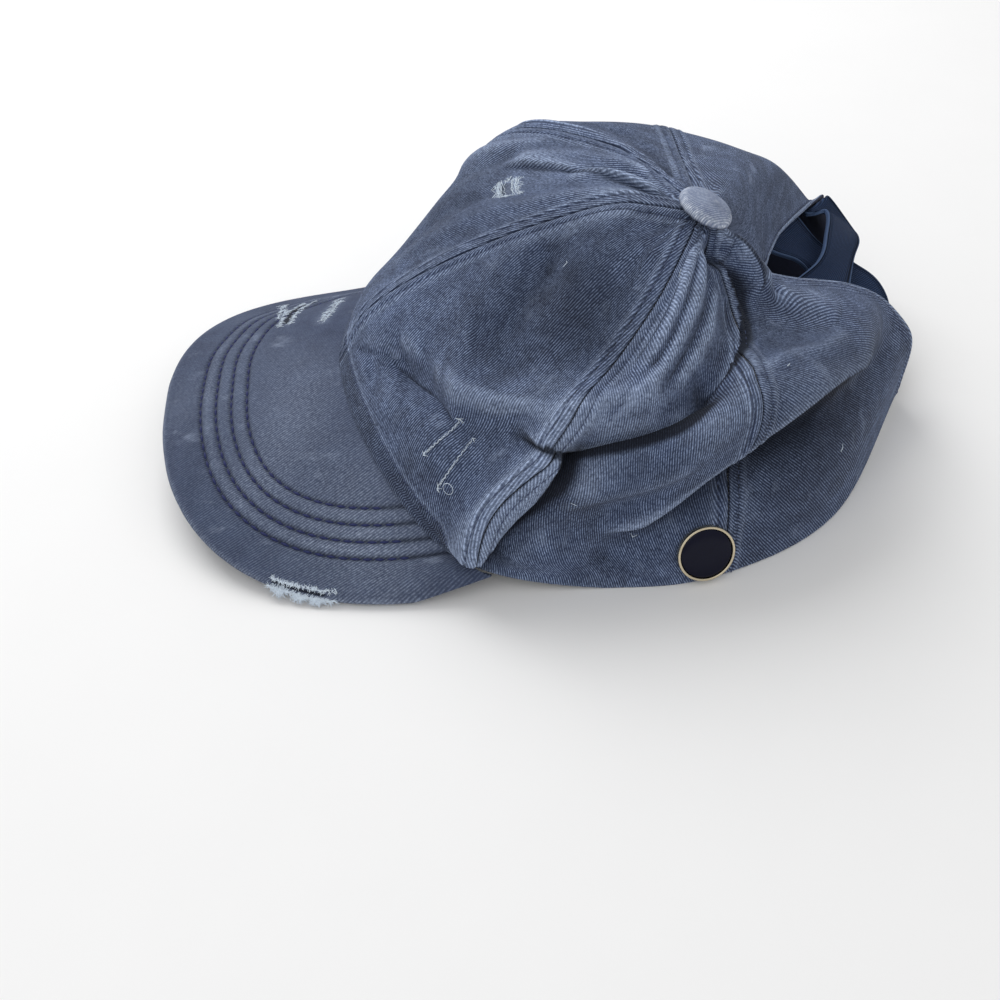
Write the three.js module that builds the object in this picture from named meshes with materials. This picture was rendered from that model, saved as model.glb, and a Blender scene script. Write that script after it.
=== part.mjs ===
// Ponytail baseball cap of washed cotton twill, lying slumped on a table.
// Millimetres. +Z is up, the peak points along -Y and +X is the wearer's left.

import * as THREE from 'three';

// Sizes of the whole cap, as it lies.
const capWidth = 154; // rim, ear to ear
const capLength = 196; // twice the distance from the crown's middle to the forehead
const crownHeight = 84; // highest cloth above the table

// Cloth and sewing.
const clothThickness = 1.6;
const seamGap = 0.3; // between neighbouring pieces
const panelWidth = 92; // one panel at the rim
const panelHeight = 150; // rim to button along the cloth
const tipCut = 0.975; // how far up a panel runs before its tip is cut off under the button
const slitTop = 0.79; // how far up the ponytail opening runs

// Peak.
const peakLength = 59; // along its middle
const peakCorner = 90; // half its width, along the curve
const peakSweep = 44; // how far the corners reach back
const peakRadius = 115; // curve across the middle of the sewn edge
const peakTaper = 0.2537; // growth of that radius from there to the tip, as a share
const peakCrest = 31; // height of the middle of the sewn edge
const peakTipHeight = 15;
const peakThickness = 2.6;
const peakEnd = 1.13; // panels from the front seam to each corner
const peakClear = 0.5; // room for the stitching between the peak and the crown
const cornerClear = 0.8; // further room at the corners

// Straps, button and badge.
const strapThickness = 1.4;
const strapClear = 1.3; // room for the hem's turned edge over a strap's end
const buttonRadius = 8.8;
const buttonHeight = 4.8;
const buttonEdge = 0.8; // height of its upright edge
const buttonLift = 0.3; // how much straighter it stands than the cloth under it
const pegRadius = 1.9;
const pegLength = 5;
const badgeRadius = 9;
const badgeThickness = 1.8;
const badgeRim = 0.9; // width of the metal round the enamel
const badgeFloor = 0.6; // metal under the enamel
const layerDepth = 12; // cloth this far along a turned piece's axis is looked at for bumps

// Sections of the crown, from the wearer's right of the opening round by the forehead to its left.
// "at" counts panels from the front seam. Each station holds x, y and z as shares of half the
// width, half the length and the height.
const sections = [
  { at: -3.0, rim: [-0.90, 0.77, 0.48], low: [-0.65, 0.65, 0.56],
    shoulder: [-0.33, 0.48, 0.64], high: [0.05, 0.31, 0.73] },
  { at: -2.5, rim: [-0.93, 0.85, 0.00], low: [-1.03, 0.61, 0.51],
    shoulder: [-0.79, 0.48, 0.71], high: [-0.33, 0.28, 0.86] },
  { at: -2.0, rim: [-1.01, 0.24, 0.00], low: [-1.01, 0.18, 0.45],
    shoulder: [-0.87, 0.15, 0.83], high: [-0.42, 0.13, 0.93] },
  { at: -1.5, rim: [-1.01, -0.24, 0.00], low: [-1.03, -0.22, 0.48],
    shoulder: [-0.88, -0.16, 0.87], high: [-0.47, 0.03, 0.95] },
  { at: -1.0, rim: [-0.92, -0.67, 0.11], low: [-0.93, -0.58, 0.40],
    shoulder: [-0.84, -0.42, 0.86], high: [-0.46, -0.08, 0.97] },
  { at: -0.5, rim: [-0.57, -0.91, 0.29], low: [-0.54, -0.83, 0.48],
    shoulder: [-0.50, -0.60, 0.77], high: [-0.25, -0.18, 0.99] },
  { at: 0.0, rim: [0.00, -1.02, 0.37], low: [0.00, -0.90, 0.61],
    shoulder: [0.00, -0.59, 0.83], high: [0.01, -0.18, 1.00] },
  { at: 0.5, rim: [0.57, -0.91, 0.29], low: [0.62, -0.78, 0.47],
    shoulder: [0.49, -0.57, 0.68], high: [0.26, -0.22, 0.89] },
  { at: 1.0, rim: [0.92, -0.67, 0.11], low: [0.88, -0.60, 0.32],
    shoulder: [0.74, -0.34, 0.60], high: [0.40, -0.07, 0.81] },
  { at: 1.5, rim: [1.00, -0.24, 0.00], low: [0.88, -0.20, 0.29],
    shoulder: [0.78, -0.08, 0.57], high: [0.39, 0.04, 0.82] },
  { at: 2.0, rim: [0.97, 0.13, 0.00], low: [0.84, 0.15, 0.33],
    shoulder: [0.68, 0.20, 0.62], high: [0.30, 0.19, 0.77] },
  { at: 2.5, rim: [0.68, 0.55, 0.00], low: [0.66, 0.52, 0.36],
    shoulder: [0.42, 0.51, 0.63], high: [0.16, 0.33, 0.75] },
  { at: 3.0, rim: [-0.02, 0.92, 0.05], low: [-0.04, 0.91, 0.34],
    shoulder: [-0.13, 0.71, 0.50], high: [0.05, 0.31, 0.72] },
];
const summit = [0.05, 0.12, 0.98]; // the cloth under the button
const stations = { rim: 0, low: 0.24, shoulder: 0.5, high: 0.76 }; // how far up each one lies

// Folds, each along a path of [panels from the front seam, how far up]. Rise and lean are shares of
// foldDepth, width a share of foldWidth. Lean carries the fold towards the wearer's left.
const foldDepth = 10;
const foldWidth = 10;
const folds = [
  { name: 'rolled ridge over the ear', rise: 0.62, width: 1.15, lean: 0,
    path: [[1.3, 0.36], [1.6, 0.39], [1.9, 0.46], [2.05, 0.49], [2.45, 0.48], [2.8, 0.42]] },
  { name: 'valley under the ridge', rise: -0.55, width: 1, lean: 0,
    path: [[1.5, 0.08], [1.68, 0.16], [1.9, 0.27], [2.1, 0.33], [2.4, 0.36], [2.8, 0.29]] },
  { name: 'crease behind the temple', rise: -0.6, width: 0.6, lean: 0,
    path: [[1.13, 0.42], [1.18, 0.3], [1.13, 0.16], [1.08, 0.05]] },
  { name: 'flap at the temple seam', rise: 0.5, width: 0.6, lean: 0.1,
    path: [[1.02, 0.5], [0.98, 0.4], [0.98, 0.25], [0.97, 0.08]] },
  { name: 'gap over the ridge', rise: -0.7, width: 0.6, lean: 0,
    path: [[1.14, 0.46], [1.3, 0.49], [1.5, 0.52], [1.75, 0.54]] },
  { name: 'edge above the gap', rise: 0.45, width: 0.7, lean: 0,
    path: [[0.5, 0.41], [0.7, 0.47], [0.92, 0.53], [1.1, 0.55], [1.35, 0.58]] },
  { name: 'crease over the peak', rise: -0.3, width: 0.5, lean: 0,
    path: [[0.2, 0.17], [0.32, 0.34]] },
  { name: 'hollow over the temple', rise: -0.4, width: 0.9, lean: 0,
    path: [[0.3, 0.27], [0.42, 0.32], [0.62, 0.37]] },
  { name: 'hollow on the forehead', rise: -0.3, width: 0.9, lean: 0,
    path: [[0.28, 0.66], [0.4, 0.62], [0.56, 0.54]] },
  { name: 'valley beside the button', rise: -0.7, width: 0.7, lean: 0,
    path: [[1.96, 0.88], [2.02, 0.78], [1.94, 0.66], [1.76, 0.58]] },
  { name: 'edge beside the opening', rise: 0.35, width: 0.5, lean: 0,
    path: [[2.3, 0.92], [2.42, 0.85], [2.46, 0.77]] },
  { name: 'hollow behind the ear', rise: -0.55, width: 1.4, lean: 0,
    path: [[2.38, 0.66], [2.5, 0.52]] },
];

// Straps across the opening, from the wearer's right to the left. "from" and "to" say how far up the
// opening's edges each side of a strap is sewn, first the side nearer the button. A station holds
// those two sides as x, y and z in the same shares as the crown's sections.
const straps = [
  {
    name: 'strap_over',
    from: [0.22, 0.03],
    to: [0.66, 0.50],
    stations: [
      { along: 0.25, top: [-0.72, 0.74, 0.50], bottom: [-0.85, 0.89, 0.33] },
      { along: 0.50, top: [-0.47, 0.68, 0.54], bottom: [-0.66, 0.87, 0.38] },
      { along: 0.75, top: [-0.24, 0.60, 0.56], bottom: [-0.43, 0.79, 0.43] },
    ],
  },
  {
    name: 'strap_under',
    from: [0.57, 0.29],
    to: [0.28, 0.04],
    stations: [
      { along: 0.30, top: [-0.28, 0.54, 0.54], bottom: [-0.57, 0.70, 0.43] },
      { along: 0.60, top: [-0.27, 0.62, 0.45], bottom: [-0.52, 0.82, 0.36] },
      { along: 0.80, top: [-0.21, 0.76, 0.36], bottom: [-0.36, 0.92, 0.28] },
    ],
  },
];

const halfSizes = [capWidth / 2, capLength / 2, crownHeight];
const inMillimetres = (shares) => new THREE.Vector3(...shares.map((share, k) => share * halfSizes[k]));

// The value at "x" of a smooth curve through rows of [place, value].
function smooth(points, x) {
  const last = points.length - 1;
  let i = 0;
  while (i < last - 1 && x > points[i + 1][0]) i += 1;
  const [x0, y0] = points[i];
  const [x1, y1] = points[i + 1];
  const slope = (k) => {
    const a = points[Math.max(k - 1, 0)];
    const b = points[Math.min(k + 1, last)];
    return (b[1] - a[1]) / (b[0] - a[0]);
  };
  const h = x1 - x0;
  const t = (x - x0) / h;
  const t2 = t * t;
  const t3 = t2 * t;
  return (2 * t3 - 3 * t2 + 1) * y0 + (t3 - 2 * t2 + t) * h * slope(i)
    + (3 * t2 - 2 * t3) * y1 + (t3 - t2) * h * slope(i + 1);
}

function smoothStep(low, high, x) {
  const t = Math.min(Math.max((x - low) / (high - low), 0), 1);
  return t * t * (3 - 2 * t);
}

// The crown before its folds: "at" counts panels from the front seam, "up" runs from rim to button.
function section(at, up) {
  const axis = (k) => {
    const rows = Object.entries(stations).map(([station, height]) => [
      height,
      smooth(sections.map((row) => [row.at, row[station][k]]), at),
    ]);
    rows.push([1, summit[k]]);
    return smooth(rows, up);
  };
  return inMillimetres([axis(0), axis(1), axis(2)]);
}

// Above the opening the two back panels meet in one seam.
function slumped(at, up) {
  const point = section(at, up);
  const nearSlit = smoothStep(2, 3, Math.abs(at)) * smoothStep(slitTop - 0.15, slitTop, up);
  if (nearSlit > 0) {
    const left = section(3, up);
    const right = section(-3, up);
    const seam = left.clone().add(right).multiplyScalar(0.5);
    point.addScaledVector(seam.sub(at > 0 ? left : right), nearSlit);
  }
  return point;
}

const step = 0.004;

function across(surface, at, up) {
  const low = Math.max(at - step, -3);
  const high = Math.min(at + step, 3);
  return surface(high, up).sub(surface(low, up)).divideScalar(high - low);
}

function along(surface, at, up) {
  const low = Math.max(up - step, 0);
  const high = Math.min(up + step, 0.995);
  return surface(at, high).sub(surface(at, low)).divideScalar(high - low);
}

function normal(surface, at, up) {
  return across(surface, at, up).cross(along(surface, at, up)).normalize();
}

// Distance in millimetres on the cloth from a place to a fold's path.
function distanceToPath(path, at, up) {
  const width = panelWidth * (1 - 0.75 * up);
  let least = Infinity;
  for (let i = 0; i + 1 < path.length; i += 1) {
    const ax = (path[i][0] - at) * width;
    const ay = (path[i][1] - up) * panelHeight;
    const bx = (path[i + 1][0] - at) * width;
    const by = (path[i + 1][1] - up) * panelHeight;
    const dx = bx - ax;
    const dy = by - ay;
    const t = Math.min(Math.max(-(ax * dx + ay * dy) / (dx * dx + dy * dy), 0), 1);
    least = Math.min(least, Math.hypot(ax + t * dx, ay + t * dy));
  }
  return least;
}

// The middle of the cloth, with its folds, kept off the table by half its thickness at most.
function cloth(at, up) {
  const point = slumped(at, up);
  const outward = normal(slumped, at, Math.min(up, 0.985));
  const sideways = across(slumped, at, Math.min(up, 0.985)).normalize();
  const calm = (1 - smoothStep(0.93, 1, up)) * smoothStep(0, 0.07, up) * (1 - 0.6 * smoothStep(2.6, 3, at));
  for (const fold of folds) {
    const d = distanceToPath(fold.path, at, up) / (fold.width * foldWidth);
    if (d > 2.6) continue;
    const amount = Math.exp(-d * d) * foldDepth * calm;
    point.addScaledVector(outward, fold.rise * amount);
    point.addScaledVector(sideways, fold.lean * amount);
  }
  point.z = Math.max(point.z, 0);
  return point;
}

// Which way the cloth faces: level at the rim, which lies flat on its edge. Both back panels face the
// same way along the seam above the opening.
function facing(at, up) {
  const own = normal(cloth, at, up);
  if (up === 0) return across(cloth, at, up).cross(new THREE.Vector3(0, 0, 1)).normalize();
  const share = smoothStep(2.7, 3, Math.abs(at)) * smoothStep(slitTop - 0.1, slitTop, up);
  if (share === 0) return own;
  const seam = normal(cloth, 3, up).add(normal(cloth, -3, up)).normalize();
  return own.lerp(seam, share).normalize();
}

// A closed sheet from two grids of points, outer and inner, of the same size.
function sheet(outer, inner) {
  const rows = outer.length;
  const columns = outer[0].length;
  const positions = [...outer.flat(), ...inner.flat()].flatMap((p) => [p.x, p.y, Math.max(p.z, 0)]);
  const half = rows * columns;
  const o = (r, c) => r * columns + c;
  const n = (r, c) => half + r * columns + c;
  const index = [];
  const quad = (a, b, c, d) => index.push(a, b, c, a, c, d);
  for (let r = 0; r + 1 < rows; r += 1) {
    for (let c = 0; c + 1 < columns; c += 1) {
      quad(o(r, c), o(r, c + 1), o(r + 1, c + 1), o(r + 1, c));
      quad(n(r, c), n(r + 1, c), n(r + 1, c + 1), n(r, c + 1));
    }
  }
  for (let c = 0; c + 1 < columns; c += 1) {
    quad(o(0, c), n(0, c), n(0, c + 1), o(0, c + 1));
    quad(o(rows - 1, c), o(rows - 1, c + 1), n(rows - 1, c + 1), n(rows - 1, c));
  }
  for (let r = 0; r + 1 < rows; r += 1) {
    quad(o(r, 0), o(r + 1, 0), n(r + 1, 0), n(r, 0));
    quad(o(r, columns - 1), n(r, columns - 1), n(r + 1, columns - 1), o(r + 1, columns - 1));
  }
  const geometry = new THREE.BufferGeometry();
  geometry.setAttribute('position', new THREE.Float32BufferAttribute(positions, 3));
  geometry.setIndex(index);
  geometry.computeVertexNormals();
  return geometry;
}

const group = new THREE.Group();

function add(name, geometry, colour, roughness = 0.9, metalness = 0) {
  const material = new THREE.MeshStandardMaterial({ color: colour, roughness, metalness });
  const mesh = new THREE.Mesh(geometry, material);
  mesh.name = name;
  group.add(mesh);
  return mesh;
}

const twillColour = 0x4a5678;
const peakColour = 0x5a6684;
const elasticColour = 0x2b3a58;

// Six panels of the crown.
function panel(name, from, panelColumns, panelRows) {
  const outer = [];
  const inner = [];
  const inset = (seam, up) => {
    const spare = Math.abs(seam) === 3 ? 1.4 : 1.1;
    return (spare * seamGap) / 2 / across(cloth, seam, up).length();
  };
  for (let r = 0; r < panelRows; r += 1) {
    const up = (r / (panelRows - 1)) * tipCut;
    const leftInset = inset(from, up);
    const rightInset = inset(from + 1, up);
    const outerRow = [];
    const innerRow = [];
    for (let c = 0; c < panelColumns; c += 1) {
      const share = c / (panelColumns - 1);
      const at = from + leftInset + share * (1 - leftInset - rightInset);
      const point = cloth(at, up);
      const out = facing(at, up).multiplyScalar(clothThickness / 2);
      outerRow.push(point.clone().add(out));
      innerRow.push(point.clone().sub(out));
    }
    outer.push(outerRow);
    inner.push(innerRow);
  }
  add(name, sheet(outer, inner), twillColour);
}

panel('panel_back_right', -3, 13, 17);
panel('panel_side_right', -2, 13, 15);
panel('panel_front_right', -1, 13, 15);
panel('panel_front_left', 0, 19, 21);
panel('panel_side_left', 1, 21, 24);
panel('panel_back_left', 2, 21, 24);

// The peak, from the crown's rim out to its curved edge.
function peakOuter(u) {
  const a = u * peakCorner;
  const b = -peakSweep + (peakLength + peakSweep) * (1 - Math.abs(u) ** 2.45) ** (1 / 2.4);
  const radius = peakRadius * (1 + (peakTaper * b) / peakLength);
  const crest = peakCrest + ((peakTipHeight - peakCrest) * b) / peakLength;
  return new THREE.Vector3(
    radius * Math.sin(a / radius),
    -capLength * 0.51 - b,
    crest - radius * (1 - Math.cos(a / radius)),
  );
}

function peakPoint(u, t) {
  const at = u * peakEnd;
  const rim = cloth(at, 0);
  const away = normal(cloth, at, 0).setZ(0).normalize();
  const clear = peakClear + cornerClear * smoothStep(0.7, 1, Math.abs(u));
  const inner = rim.addScaledVector(away, clothThickness / 2 + seamGap + clear);
  inner.z += peakThickness / 2;
  return inner.lerp(peakOuter(u), t);
}

const peakColumns = 33;
const peakRows = 9;
const peakOuterGrid = [];
const peakInnerGrid = [];
for (let r = 0; r < peakRows; r += 1) {
  const t = r / (peakRows - 1);
  const top = [];
  const bottom = [];
  for (let c = 0; c < peakColumns; c += 1) {
    const u = Math.sin(((c / (peakColumns - 1)) * 2 - 1) * (Math.PI / 2)) * 0.985;
    const du = peakPoint(u + 0.002, t).sub(peakPoint(u - 0.002, t));
    const dt = peakPoint(u, Math.min(t + 0.01, 1)).sub(peakPoint(u, Math.max(t - 0.01, 0)));
    const up = du.cross(dt).normalize();
    if (up.z < 0) up.negate();
    const point = peakPoint(u, t);
    top.push(point.clone().addScaledVector(up, peakThickness / 2));
    bottom.push(point.clone().addScaledVector(up, -peakThickness / 2));
  }
  peakOuterGrid.push(top);
  peakInnerGrid.push(bottom);
}
add('peak', sheet(peakInnerGrid, peakOuterGrid), peakColour);

// Elastic straps: each end lies under the hem of the opening.
const strapColumns = 5;
const strapRows = 25;
const strapTuck = 0.08; // panels from the hem to a strap's end

function underHem(at, up) {
  const depth = (clothThickness + strapThickness) / 2 + strapClear;
  return cloth(at, up).addScaledVector(normal(cloth, at, up), -depth);
}

for (const strap of straps) {
  const edges = ['top', 'bottom'].map((side, k) => {
    const points = [
      [0, underHem(-3 + strapTuck, strap.from[k])],
      [0.09, underHem(-2.999, strap.from[k])],
      ...strap.stations.map((station) => [station.along, inMillimetres(station[side])]),
      [0.91, underHem(2.999, strap.to[k])],
      [1, underHem(3 - strapTuck, strap.to[k])],
    ];
    const along = (axis, s) => smooth(points.map(([place, p]) => [place, p[axis]]), s);
    return (s) => new THREE.Vector3(along('x', s), along('y', s), along('z', s));
  });
  const ribbon = (s, w) => edges[0](s).lerp(edges[1](s), w);
  const outer = [];
  const inner = [];
  for (let r = 0; r < strapRows; r += 1) {
    const s = r / (strapRows - 1);
    const outerRow = [];
    const innerRow = [];
    for (let c = 0; c < strapColumns; c += 1) {
      const w = c / (strapColumns - 1);
      const ahead = ribbon(Math.min(s + 0.01, 1), w).sub(ribbon(Math.max(s - 0.01, 0), w));
      const wide = ribbon(s, 1).sub(ribbon(s, 0));
      const out = wide.cross(ahead).normalize().multiplyScalar(strapThickness / 2);
      outerRow.push(ribbon(s, w).add(out));
      innerRow.push(ribbon(s, w).sub(out));
    }
    outer.push(outerRow);
    inner.push(innerRow);
  }
  add(strap.name, sheet(outer, inner), elasticColour);
}

// A turned piece stood on the cloth at a place, clear of every bump under it.
function turned(name, profile, centre, axis, reach, colour, roughness, metalness) {
  let clear = 0;
  for (let at = -3; at <= 3; at += 0.05) {
    for (let up = 0; up < tipCut; up += 0.01) {
      const offset = cloth(at, up).sub(centre);
      const height = offset.dot(axis);
      if (offset.addScaledVector(axis, -height).length() < reach && Math.abs(height) < layerDepth) {
        clear = Math.max(clear, height);
      }
    }
  }
  const geometry = new THREE.LatheGeometry(profile.map(([r, z]) => new THREE.Vector2(r, z)), 28);
  geometry.applyQuaternion(new THREE.Quaternion().setFromUnitVectors(new THREE.Vector3(0, 1, 0), axis));
  const base = centre.clone().addScaledVector(axis, clear + clothThickness / 2 + 1.5 * seamGap);
  geometry.translate(base.x, base.y, base.z);
  add(name, geometry, colour, roughness, metalness);
}

const buttonAxis = new THREE.Vector3();
for (let at = -2.5; at < 3; at += 1) {
  buttonAxis.add(normal(cloth, at, 0.93).divideScalar(6));
}
buttonAxis.z += buttonLift;
buttonAxis.normalize();
const buttonProfile = [[0, -pegLength], [pegRadius, -pegLength], [pegRadius, 0], [buttonRadius * 0.9, 0]];
for (let k = 0; k <= 8; k += 1) {
  const angle = (k / 8) * (Math.PI / 2);
  buttonProfile.push([
    k === 8 ? 0 : buttonRadius * Math.cos(angle),
    buttonEdge + (buttonHeight - buttonEdge) * Math.sin(angle),
  ]);
}
turned('button', buttonProfile, inMillimetres(summit), buttonAxis, buttonRadius, 0x8791ab, 0.9, 0);

const badgeAt = 1.91;
const badgeUp = 0.08;
const badgeAxis = normal(cloth, badgeAt, badgeUp);
const badgeCentre = cloth(badgeAt, badgeUp);
const enamelRadius = badgeRadius - badgeRim - seamGap;
turned('badge_rim', [
  [0, 0],
  [badgeRadius, 0],
  [badgeRadius, badgeThickness],
  [badgeRadius - badgeRim, badgeThickness],
  [badgeRadius - badgeRim, badgeFloor],
  [0, badgeFloor],
], badgeCentre, badgeAxis, badgeRadius, 0xc8b48a, 0.3, 1);
turned('badge_enamel', [
  [0, badgeFloor + seamGap],
  [enamelRadius, badgeFloor + seamGap],
  [enamelRadius, badgeThickness * 0.9],
  [enamelRadius * 0.6, badgeThickness],
  [0, badgeThickness * 1.05],
], badgeCentre, badgeAxis, badgeRadius, 0x0a0c1c, 0.15, 0);

// The origin lies on the table, under the middle of the whole cap.
const whole = new THREE.Box3().setFromObject(group);
for (const mesh of group.children) {
  mesh.geometry.translate(-(whole.min.x + whole.max.x) / 2, -(whole.min.y + whole.max.y) / 2, -whole.min.z);
}

export default group;
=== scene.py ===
# Ponytail baseball cap of washed twill, lying slumped on a table.
import math

import bpy
import numpy as np
from mathutils import Matrix, Vector


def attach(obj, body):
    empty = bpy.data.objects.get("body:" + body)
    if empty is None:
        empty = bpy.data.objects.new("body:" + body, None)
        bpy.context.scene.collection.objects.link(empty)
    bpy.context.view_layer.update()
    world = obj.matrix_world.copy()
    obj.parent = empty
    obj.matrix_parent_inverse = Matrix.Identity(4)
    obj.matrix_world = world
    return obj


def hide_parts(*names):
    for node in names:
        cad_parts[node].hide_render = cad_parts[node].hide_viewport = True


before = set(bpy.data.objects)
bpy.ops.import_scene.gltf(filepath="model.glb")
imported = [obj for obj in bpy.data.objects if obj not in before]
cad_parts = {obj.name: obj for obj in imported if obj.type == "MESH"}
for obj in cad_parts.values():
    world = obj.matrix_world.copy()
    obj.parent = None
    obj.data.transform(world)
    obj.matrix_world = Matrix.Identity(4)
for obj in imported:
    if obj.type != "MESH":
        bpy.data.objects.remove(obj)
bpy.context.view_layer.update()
bpy.ops.object.select_all(action="DESELECT")
mm = 0.001
print("frame loaded")

# camera
view = {
    "place": (0.33433, -0.04364, 0.29747),
    "back": (0.70442, -0.06163, 0.70711),
    "right": (0.08716, 0.99619, 0.0),
    "lens": 46.98,
}


def makeCamera():
    data = bpy.data.cameras.new("camera")
    data.lens = view["lens"]
    data.sensor_width = 36
    data.clip_start = 0.01
    camera = bpy.data.objects.new("camera", data)
    bpy.context.scene.collection.objects.link(camera)
    back = Vector(view["back"]).normalized()
    right = Vector(view["right"]).normalized()
    turn = Matrix((right, back.cross(right), back)).transposed()
    camera.matrix_world = Matrix.Translation(view["place"]) @ turn.to_4x4()
    bpy.context.scene.camera = camera


makeCamera()

# The crown's shape, in millimetres before it is set down: "at" counts panels from the front seam,
# "up" runs from the rim to the button.
crown = {
    "halfSizes": (77, 98, 84),
    "summit": (0.05, 0.12, 0.98),
    "stations": (0, 0.24, 0.5, 0.76, 1),
    "slitTop": 0.79,
    "panelWidth": 92,
    "panelHeight": 150,
    "setDown": (0.901, 33.994, 0.0),
    "cloth": 1.5,
    "tip": 0.988,
    "nearTop": 0.985,  # folds and directions are read no nearer the summit than this
    "rows": 180,
    "moreRows": 60,
    "foldDepth": 10,
    "foldWidth": 10,
}
sections = [
    (-3.0, (-0.90, 0.77, 0.48), (-0.65, 0.65, 0.56), (-0.33, 0.48, 0.64), (0.05, 0.31, 0.73)),
    (-2.5, (-0.93, 0.85, 0.00), (-1.03, 0.61, 0.51), (-0.79, 0.48, 0.71), (-0.33, 0.28, 0.86)),
    (-2.0, (-1.01, 0.24, 0.00), (-1.01, 0.18, 0.45), (-0.87, 0.15, 0.83), (-0.42, 0.13, 0.93)),
    (-1.5, (-1.01, -0.24, 0.00), (-1.03, -0.22, 0.48), (-0.88, -0.16, 0.87), (-0.47, 0.03, 0.95)),
    (-1.0, (-0.92, -0.67, 0.11), (-0.93, -0.58, 0.40), (-0.84, -0.42, 0.86), (-0.46, -0.08, 0.97)),
    (-0.5, (-0.57, -0.91, 0.29), (-0.54, -0.83, 0.48), (-0.50, -0.60, 0.77), (-0.25, -0.18, 0.99)),
    (0.0, (0.00, -1.02, 0.37), (0.00, -0.90, 0.61), (0.00, -0.59, 0.83), (0.01, -0.18, 1.00)),
    (0.5, (0.57, -0.91, 0.29), (0.62, -0.78, 0.47), (0.49, -0.57, 0.68), (0.26, -0.22, 0.89)),
    (1.0, (0.92, -0.67, 0.11), (0.88, -0.60, 0.32), (0.74, -0.34, 0.60), (0.40, -0.07, 0.81)),
    (1.5, (1.00, -0.24, 0.00), (0.88, -0.20, 0.29), (0.78, -0.08, 0.57), (0.39, 0.04, 0.82)),
    (2.0, (0.97, 0.13, 0.00), (0.84, 0.15, 0.33), (0.68, 0.20, 0.62), (0.30, 0.19, 0.77)),
    (2.5, (0.68, 0.55, 0.00), (0.66, 0.52, 0.36), (0.42, 0.51, 0.63), (0.16, 0.33, 0.75)),
    (3.0, (-0.02, 0.92, 0.05), (-0.04, 0.91, 0.34), (-0.13, 0.71, 0.50), (0.05, 0.31, 0.72)),
]
# Main folds, the same as the solids have: rise and width as shares, lean towards the wearer's left.
mainFolds = [
    ("rolled ridge over the ear", 0.62, 1.15, 0,
     [(1.3, 0.36), (1.6, 0.39), (1.9, 0.46), (2.05, 0.49), (2.45, 0.48), (2.8, 0.42)]),
    ("valley under the ridge", -0.55, 1, 0,
     [(1.5, 0.08), (1.68, 0.16), (1.9, 0.27), (2.1, 0.33), (2.4, 0.36), (2.8, 0.29)]),
    ("crease behind the temple", -0.6, 0.6, 0, [(1.13, 0.42), (1.18, 0.3), (1.13, 0.16), (1.08, 0.05)]),
    ("flap at the temple seam", 0.5, 0.6, 0.1, [(1.02, 0.5), (0.98, 0.4), (0.98, 0.25), (0.97, 0.08)]),
    ("gap over the ridge", -0.7, 0.6, 0, [(1.14, 0.46), (1.3, 0.49), (1.5, 0.52), (1.75, 0.54)]),
    ("edge above the gap", 0.45, 0.7, 0, [(0.5, 0.41), (0.7, 0.47), (0.92, 0.53), (1.1, 0.55), (1.35, 0.58)]),
    ("crease over the peak", -0.3, 0.5, 0, [(0.2, 0.17), (0.32, 0.34)]),
    ("hollow over the temple", -0.4, 0.9, 0, [(0.3, 0.27), (0.42, 0.32), (0.62, 0.37)]),
    ("hollow on the forehead", -0.3, 0.9, 0, [(0.28, 0.66), (0.4, 0.62), (0.56, 0.54)]),
    ("valley beside the button", -0.7, 0.7, 0, [(1.96, 0.88), (2.02, 0.78), (1.94, 0.66), (1.76, 0.58)]),
    ("edge beside the opening", 0.35, 0.5, 0, [(2.3, 0.92), (2.42, 0.85), (2.46, 0.77)]),
    ("hollow behind the ear", -0.55, 1.4, 0, [(2.38, 0.66), (2.5, 0.52)]),
]

sectionAts = np.array([row[0] for row in sections])
sectionRows = np.array([row[1:] for row in sections], float)
halfSizes = np.array(crown["halfSizes"], float)
setDown = np.array(crown["setDown"])


def hermite(places, values, x):
    # a smooth curve through rows of values, read at every x
    places = np.asarray(places, float)
    last = len(places) - 1
    i = np.clip(np.searchsorted(places, x) - 1, 0, last - 1)

    def row(k):
        return values[k] if values.ndim == 2 else values[k, np.arange(len(x))]

    def slope(k):
        a = np.maximum(k - 1, 0)
        b = np.minimum(k + 1, last)
        return (row(b) - row(a)) / (places[b] - places[a])[:, None]

    h = (places[i + 1] - places[i])[:, None]
    t = (x - places[i])[:, None] / h
    t2 = t * t
    t3 = t2 * t
    return ((2 * t3 - 3 * t2 + 1) * row(i) + (t3 - 2 * t2 + t) * h * slope(i)
            + (3 * t2 - 2 * t3) * row(i + 1) + (t3 - t2) * h * slope(i + 1))


def smoothStep(low, high, x):
    t = np.clip((x - low) / (high - low), 0, 1)
    return t * t * (3 - 2 * t)


def unit(v):
    return v / np.maximum(np.linalg.norm(v, axis=-1, keepdims=True), 1e-9)


def section(at, up):
    levels = [hermite(sectionAts, sectionRows[:, k, :], at) for k in range(4)]
    levels.append(np.broadcast_to(np.array(crown["summit"]), (len(at), 3)))
    return hermite(crown["stations"], np.stack(levels), up) * halfSizes


def slumped(at, up):
    point = section(at, up)
    top = crown["slitTop"]
    share = smoothStep(2, 3, np.abs(at)) * smoothStep(top - 0.15, top, up)
    near = share > 0
    if near.any():
        three = np.full(near.sum(), 3.0)
        left = section(three, up[near])
        right = section(-three, up[near])
        own = np.where((at[near] > 0)[:, None], left, right)
        point[near] += ((left + right) / 2 - own) * share[near][:, None]
    return point


def across(surface, at, up):
    low = np.maximum(at - 0.004, -3)
    high = np.minimum(at + 0.004, 3)
    return (surface(high, up) - surface(low, up)) / (high - low)[:, None]


def along(surface, at, up):
    low = np.maximum(up - 0.004, 0)
    high = np.minimum(up + 0.004, 0.995)
    return (surface(at, high) - surface(at, low)) / (high - low)[:, None]


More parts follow.
